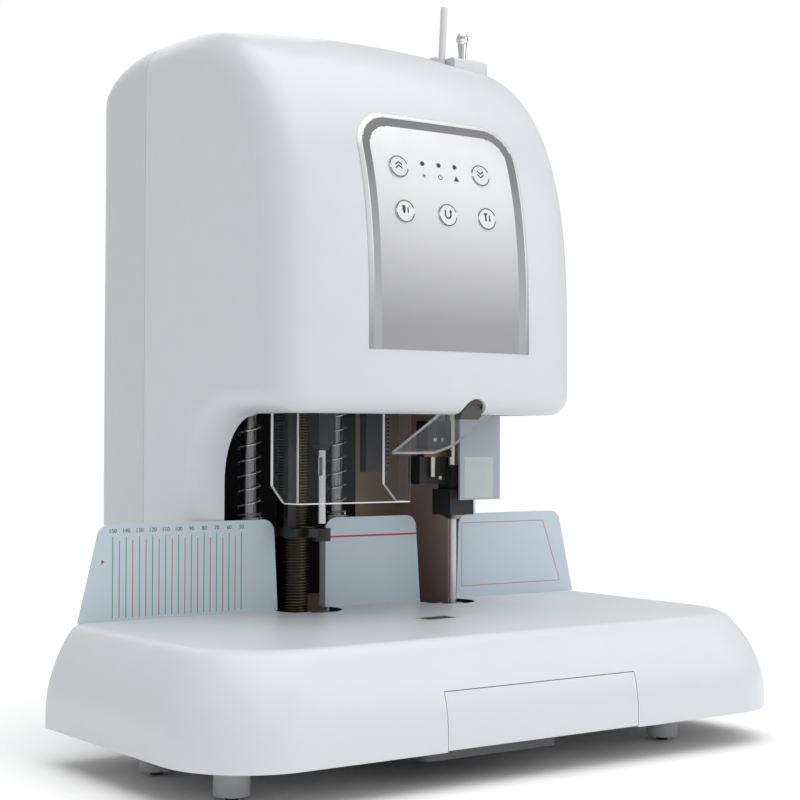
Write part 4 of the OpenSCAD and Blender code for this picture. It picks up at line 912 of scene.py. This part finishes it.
class RIVETER_OT_panel(bpy.types.Operator):
    """Makes the control panel with its rim, keys, signs and lamps"""
    bl_idname = "riveter.panel"
    bl_label = "Control panel"

    def execute(self, context):
        verts, faces = panel_mesh()
        panel = mesh_piece("panel face", verts, faces, FINISH["panel"], rides=False)
        face_outwards(panel, (0, 90, 350))
        panel.data.materials.append(FINISH["rim"])
        panel.data.materials.append(FINISH["bevel"])
        # The bands near the outline carry painted light: a painted highlight on the rim and a painted shade
        # on the bevel.
        for polygon in panel.data.polygons:
            middle = polygon.center / MM
            d = panel_depth(middle.x, middle.z)
            if d < BEVEL_END:
                polygon.material_index = 1 if d < RIM_END else 2
        thicken(panel, PANEL_T, even=False)
        sharpen(panel, 60)
        settle(panel, "machine")
        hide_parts("control_panel")
        for name, (x, z, body) in KEYS.items():
            right, up, normal = front_axes(x, z)
            base = front_point(x, z)
            rings = [[base + normal * h + right * p + up * q for p, q in circle(r, 48)]
                     for r, h in ((CAP_R, -2.5), (CAP_R, 0.8), (7.4, 0.95), (0.01, 0.97))]
            key = mesh_piece(name + " cap", *ring_mesh(rings), FINISH["key"], body, "key")
            sharpen(key, 30)
            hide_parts(name)
            ring = [arc_band(7.0, 7.75, 20, 168), arc_band(7.0, 7.75, 190, 350)]
            for kind, shapes, paint, slot in ((" ring", ring, "ring", "key"),
                                              (" sign", key_symbol(name), "mark", "lens")):
                mesh_piece(name + kind, *flat_mark(shapes, x, z, CAP_RISE), FINISH[paint], body, slot,
                           smooth=False)
        sun = [dot(0, 0, 0.8)] + [stroke(ray, 0.3)[0] for ray in zip(circle(1.3, 8), circle(1.9, 8))]
        power = [arc_band(1.4, 1.9, 125, 415), [(-0.25, 0.4), (0.25, 0.4), (0.25, 2.4), (-0.25, 2.4)]]
        triangle = [[(-2.3, -1.8), (2.3, -1.8), (0, 2.3)]]
        marks = []
        for x, sign in zip(LAMP_X, (sun, power, triangle)):
            marks.append(flat_mark([dot(0, 0, 1.7)], x, LAMP_Z, 0.2, 0.35))
            marks.append(flat_mark(sign, x, SIGN_Z, 0.2, 0.15))
        mesh_piece("panel signs", *joined(marks), FINISH["mark"], "machine", "lens", smooth=False)
        return {"FINISHED"}


class RIVETER_OT_plates(bpy.types.Operator):
    """Prints the scale and the frames on the guide plates"""
    bl_idname = "riveter.plates"
    bl_label = "Guide plate print"

    def execute(self, context):
        width = context.scene.riveter_sizes.line_width / MM
        y0, y1 = 33.9, 34.02
        for name, top, count, start, paint in (("green scale", 146.5, 11, -193.2, "green"),
                                               ("red scale", 144, 10, -188.2, "pink")):
            repeated(name, box_mesh((-width / 2, y0, 92), (width / 2, y1, top)), count, (10, 0, 0),
                     (start, 0, 0), FINISH[paint], "machine", "plate")
        for i in range(11):
            value = 150 - 10 * i
            text = bpy.data.curves.new("number", "FONT")
            text.body = str(value)
            text.size = 4.0 * MM
            text.align_x = "CENTER"
            text.align_y = "CENTER"
            text.extrude = 0.03 * MM
            obj = bpy.data.objects.new(f"number {value}", text)
            context.scene.collection.objects.link(obj)
            obj.rotation_euler = (math.radians(90), 0, 0)
            obj.location = Vector((-43.2 - value, 33.95, 150.4)) * MM
            context.view_layer.update()
            graph = context.evaluated_depsgraph_get()
            mesh = bpy.data.meshes.new_from_object(obj.evaluated_get(graph))
            mesh.transform(obj.matrix_world)
            bpy.data.objects.remove(obj)
            number = bpy.data.objects.new(f"scale_number_{value}", mesh)
            context.scene.collection.objects.link(number)
            mesh.materials.clear()
            mesh.materials.append(FINISH["mark"])
            settle(number, "machine")
        mesh_piece("limit line", *box_mesh((-19, y0, 140.3), (61, y1, 141.6)), FINISH["red"], "machine",
                   "red", smooth=False)
        corners = [(104, 99, 104, 147.6), (104, 147.6, 186, 147.6), (104, 99, 204, 99), (186, 147.6, 204, 99)]
        border = [stroke([(x0, z0), (x1, z1)], 0.45)[0] for x0, z0, x1, z1 in corners]
        mesh_piece("right plate frame", *upright_marks(border, y0, y1), FINISH["pink"], "machine", "red",
                   smooth=False)
        arrow = [[(-201.5, 131.5), (-199.0, 130), (-201.5, 128.5)]]
        mesh_piece("scale arrow", *upright_marks(arrow, y0, y1), FINISH["red"], "machine", "red",
                   smooth=False)
        return {"FINISHED"}


class RIVETER_OT_drill(bpy.types.Operator):
    """Makes the ribbed lift screw and the screw heads on the drill's carriage"""
    bl_idname = "riveter.drill"
    bl_label = "Drill side"

    def execute(self, context):
        pitch = context.scene.riveter_sizes.thread_pitch / MM
        middle = (-42, 48)
        core = mesh_piece("screw core", *turned([(10.9, 26.4), (10.9, 439.6)], middle), FINISH["screw"],
                          "lift_screw_turn", "screw")
        sharpen(core, 30)
        # The ribs take the golden painted highlight over the near-black core.
        rib = turned([(10.8, 0), (12, 0.35), (12, 0.8), (10.8, 1.15)], middle)
        count = int((439 - 27) / pitch)
        repeated("screw thread", rib, count, (0, 0, pitch), (0, 0, 26.6), FINISH["rib"], "lift_screw_turn",
                 "screw", smooth=True)
        journals = [turned([(5, low), (5, high)], middle, 32) for low, high in ((23, 26.5), (439.5, 454))]
        ends = mesh_piece("screw journals", *joined(journals), FINISH["steel"], "lift_screw_turn", "steel")
        sharpen(ends, 30)
        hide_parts("lift_screw")
        heads = [bolt((x, y, z), r, h) for x, y, z, r, h in (
            (-47, 2.0, 233, 1.2, 1.0), (-37, 2.0, 233, 1.2, 1.0), (-60, -5.0, 244, 2.4, 1.4),
            (-24, -5.0, 244, 2.4, 1.4), (-86, 20.0, 244, 3.0, 2.2), (2, 20.0, 244, 3.0, 2.2))]
        mesh_piece("drill block screws", *joined(heads), FINISH["steel"], "drill_lift", "steel", smooth=False)
        return {"FINISHED"}


class RIVETER_OT_backs(bpy.types.Operator):
    """Hangs a dark sheet behind the drill as painted shade and lays the blank label on the table"""
    bl_idname = "riveter.backs"
    bl_label = "Dark sheet and label"

    def execute(self, context):
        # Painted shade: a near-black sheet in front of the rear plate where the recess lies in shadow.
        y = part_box("frame_back")[0][1] / MM - CENTRE.y
        mesh_piece("drill shade sheet", *box_mesh((-97, y - 1.2, 92), (57, y - 0.05, 300)), FINISH["pit"],
                   "machine", "black", smooth=False)
        turn = Matrix.Rotation(math.radians(2), 4, "Z")
        for name, half, top, paint in (("blank label", (15, 9), 0.08, "key"),
                                       ("label field", (12, 6.5), 0.12, "label")):
            verts, faces = box_mesh((-half[0], -half[1], -0.05), (half[0], half[1], top))
            verts = [turn @ Vector(v) + Vector((0.5, -71, TABLE)) for v in verts]
            mesh_piece(name, verts, faces, FINISH[paint], "machine", "shell", smooth=False)
        return {"FINISHED"}


class RIVETER_OT_rivet_head(bpy.types.Operator):
    """Adds the ram's upper block, the clamp's bar and stem, and the screw heads on the blocks and the rack"""
    bl_idname = "riveter.rivet_head"
    bl_label = "Rivet head"

    def execute(self, context):
        heads = [bolt((55, 4.6, 212), 1.7, 1.2), bolt((62, 4.6, 212), 1.7, 1.2),
                 bolt((55, -2.0, 184), 1.5, 0.9)]
        mesh_piece("hot block screws", *joined(heads), FINISH["nickel"], "rivet_press", "steel", smooth=False)
        mesh_piece("ram head", *box_mesh((49, 4.6, 205), (69.5, 19, 226)), FINISH["block"], "rivet_press",
                   "black", smooth=False)
        bar = mesh_piece("clamp bar", *box_mesh((46, 5, 199.2), (73.9, 13.8, 204.2)), FINISH["bronze"],
                         "rivet_press", "brass", smooth=False)
        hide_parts("brass_clamp")
        stem = mesh_piece("clamp stem", *turned([(2.2, 184.5), (2.2, 199.5)], (54, 5.4), 32),
                          FINISH["nickel"], "rivet_press", "brass")
        sharpen(stem, 30)
        rail = [bolt((x, 28.0, 330), 2.0, 1.2) for x in (14, 26)]
        mesh_piece("rack screws", *joined(rail), FINISH["steel"], "needle_lift", "steel", smooth=False)
        return {"FINISHED"}


def bent_sheet(path, low, high, rows=6):
    """A sheet along a plan path, with a lower and an upper height at each point and a fine lowest row."""
    n = len(path)
    verts, faces = [], []
    for j in range(rows + 1):
        share = j / rows if j != 1 else 0.012
        for (x, y), z0, z1 in zip(path, low, high):
            verts.append((x, y, z0 + (z1 - z0) * share))
    for j in range(rows):
        for i in range(n - 1):
            k = j * n + i
            faces.append((k, k + 1, k + n + 1, k + n))
    return verts, faces


class RIVETER_OT_guards(bpy.types.Operator):
    """Makes the bent clear guard, the clear flap and the hot guard's patch"""
    bl_idname = "riveter.guards"
    bl_label = "Guards"

    def execute(self, context):
        x0, x1, y0, depth, r = -89.0, 8.0, -32.0, 34.0, 4.0
        sheet, edge_z, top = 2.0, 168.0, 239.0
        path = [(x0, y0 + depth - d) for d in (0, 6, 12, 15, 18, 24)]
        path += arc(x0 + r, y0 + r, r, 180, 270, 8) + arc(x1 - r, y0 + r, r, 270, 360, 8)
        path += [(x1, y0 + depth - d) for d in (24, 18, 15, 12, 6, 0)]
        low = [edge_z + max(0.0, (y - (y0 + depth - 16)) * 0.75) for x, y in path]
        high = [top] * len(path)
        guard = mesh_piece("bent guard", *bent_sheet(path, low, high), FINISH["clear"], rides=False)
        face_outwards(guard, ((x0 + x1) / 2, 0, 200))
        # Faces near the middle of each bend get the bend's painted highlight.
        guard.data.materials.append(FINISH["bend"])
        for polygon in guard.data.polygons:
            middle = polygon.center / MM
            side = x0 + 1.2 if middle.x < 0.5 * (x0 + x1) else x1 - 1.2
            if math.hypot(middle.x - side, middle.y - y0 - 1.2) < 1.0:
                polygon.material_index = 1
        thicken(guard, sheet)
        # Top, bottom and end faces take the edges' painted highlight.
        guard.data.materials.append(FINISH["edge"])
        for polygon in guard.data.polygons:
            n = polygon.normal
            if abs(n.z) > 0.3 or (abs(n.y) > 0.7 and (polygon.center / MM).y > y0 + depth - 1) \
                    or (polygon.center / MM).z < edge_z + 0.6:
                polygon.material_index = 2
        sharpen(guard, 30)
        settle(guard, "machine")
        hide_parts("acrylic_guard")
        low, high = [Vector(c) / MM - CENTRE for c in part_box("acrylic_flap")]
        slope, reach, hinge_at = math.radians(26), 74, Vector((0, -64, 234.8))
        left, right = low.x + 0.2, high.x - 0.2
        plan = [(left, 0), (right, 0), (right, reach - 12), (right - 9, reach), (left, reach)]
        turn = Matrix.Rotation(-slope, 4, "X")
        verts, faces = ring_mesh([[turn @ Vector((x, y, z)) + hinge_at for x, y in plan] for z in (-1, 1)])
        flap = mesh_piece("clear flap", verts, faces, FINISH["veil"], rides=False, smooth=False)
        # The flap's edge faces take the same painted highlight.
        flap.data.materials.append(FINISH["edge"])
        for polygon in flap.data.polygons:
            if len(polygon.vertices) == 4:
                polygon.material_index = 1
        settle(flap, "flap")
        # The hinge barrel carries the edges' painted highlight all over.
        barrel = [[hinge_at + Vector((x, p, q)) for p, q in circle(2.5, 24)]
                  for x in (left + 0.1, right - 0.1)]
        hinge = mesh_piece("flap hinge", *ring_mesh(barrel), FINISH["edge"], "flap", "clear")
        sharpen(hinge, 40)
        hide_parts("acrylic_flap")
        low, high = [Vector(c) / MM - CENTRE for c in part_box("hot_shield")]
        mesh_piece("blank patch", *box_mesh((low.x + 4, low.y - 0.12, low.z + 1.5),
                                            (high.x - 6.5, low.y + 0.02, low.z + 32)),
                   FINISH["patch"], "machine", "shield", smooth=False)
        return {"FINISHED"}


class RIVETER_OT_feed(bpy.types.Operator):
    """Makes the turned lever knob and dresses the feed opening"""
    bl_idname = "riveter.feed"
    bl_label = "Feed"

    def execute(self, context):
        ball_r, ball_z, bore_r = 4.9, 517.4, 2.95
        profile = [(2.2, 470), (2.2, 497), (3.3, 498.6), (3.15, 502), (3.05, 506), (3.3, 509.5), (3.8, 512.5)]
        profile += arc(0, ball_z, ball_r, -40, 90, 14)
        knob = mesh_piece("lever knob", *turned(profile, (89, 16), 40), FINISH["chrome"], rides=False)
        sharpen(knob, 40)
        settle(knob, "lever")
        hub = [[(89 + p, y, 466 + q) for p, q in circle(5, 32)] for y in (12, 20)]
        eye = mesh_piece("lever eye", *ring_mesh(hub), FINISH["chrome"], "lever", "chrome")
        sharpen(eye, 40)
        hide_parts("cutter_lever")
        edge_r = 3
        rows = [(0, 486), (0, BOSS_TOP - edge_r)] + arc(-edge_r, BOSS_TOP - edge_r, edge_r, 15, 90, 5)
        rings = [[(x, y, z) for x, y in boss_outline(g)] for g, z in rows]
        boss = mesh_piece("boss block", *ring_mesh(rings), FINISH["shell"], rides=False)
        face_outwards(boss, (83, 16, 493))
        lean = math.tan(math.radians(3.2))
        bore = ring_mesh([[(69 + lean * (z - 492) + p, 16 + q, z) for p, q in circle(bore_r, 32)]
                          for z in (480, 510)])
        pocket = ring_mesh([[(x + (z - 494) * slant, y, z) for x, y, slant in
                             ((63, -2, -0.9), (72.5, -2, 0), (72.5, 16, 0), (66, 19, 0), (63, 16, -0.3))]
                            for z in (490, 504)])
        slot = box_mesh((82, 13, 480), (105, 19, 504))
        cut_away(boss, [bore, pocket, slot])
        sharpen(boss, 35)
        settle(boss, "machine")
        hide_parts("feed_boss")
        return {"FINISHED"}


STEPS = (
    RIVETER_OT_finishes, RIVETER_OT_camera, RIVETER_OT_body, RIVETER_OT_base, RIVETER_OT_panel,
    RIVETER_OT_plates, RIVETER_OT_drill, RIVETER_OT_backs, RIVETER_OT_rivet_head, RIVETER_OT_guards,
    RIVETER_OT_feed, RIVETER_OT_stage,
)


class RIVETER_PT_panel(bpy.types.Panel):
    """Lists the sizes and the pieces of the machine"""
    bl_idname = "RIVETER_PT_panel"
    bl_label = "Document Riveter"
    bl_space_type = "VIEW_3D"
    bl_region_type = "UI"
    bl_category = "Riveter"

    def draw(self, context):
        sizes = context.scene.riveter_sizes
        for name in ("shell_colour", "plate_colour", "panel_colour", "thread_pitch", "line_width"):
            self.layout.prop(sizes, name)
        for step in STEPS:
            self.layout.operator(step.bl_idname)


CLASSES = (RiveterSizes,) + STEPS + (RIVETER_PT_panel,)


def register():
    for cls in CLASSES:
        bpy.utils.register_class(cls)
    bpy.types.Scene.riveter_sizes = bpy.props.PointerProperty(type=RiveterSizes)


def unregister():
    del bpy.types.Scene.riveter_sizes
    for cls in reversed(CLASSES):
        bpy.utils.unregister_class(cls)


def main():
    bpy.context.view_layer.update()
    register()
    for step in STEPS:
        group, name = step.bl_idname.split(".")
        getattr(getattr(bpy.ops, group), name)()


if __name__ == "__main__":
    main()
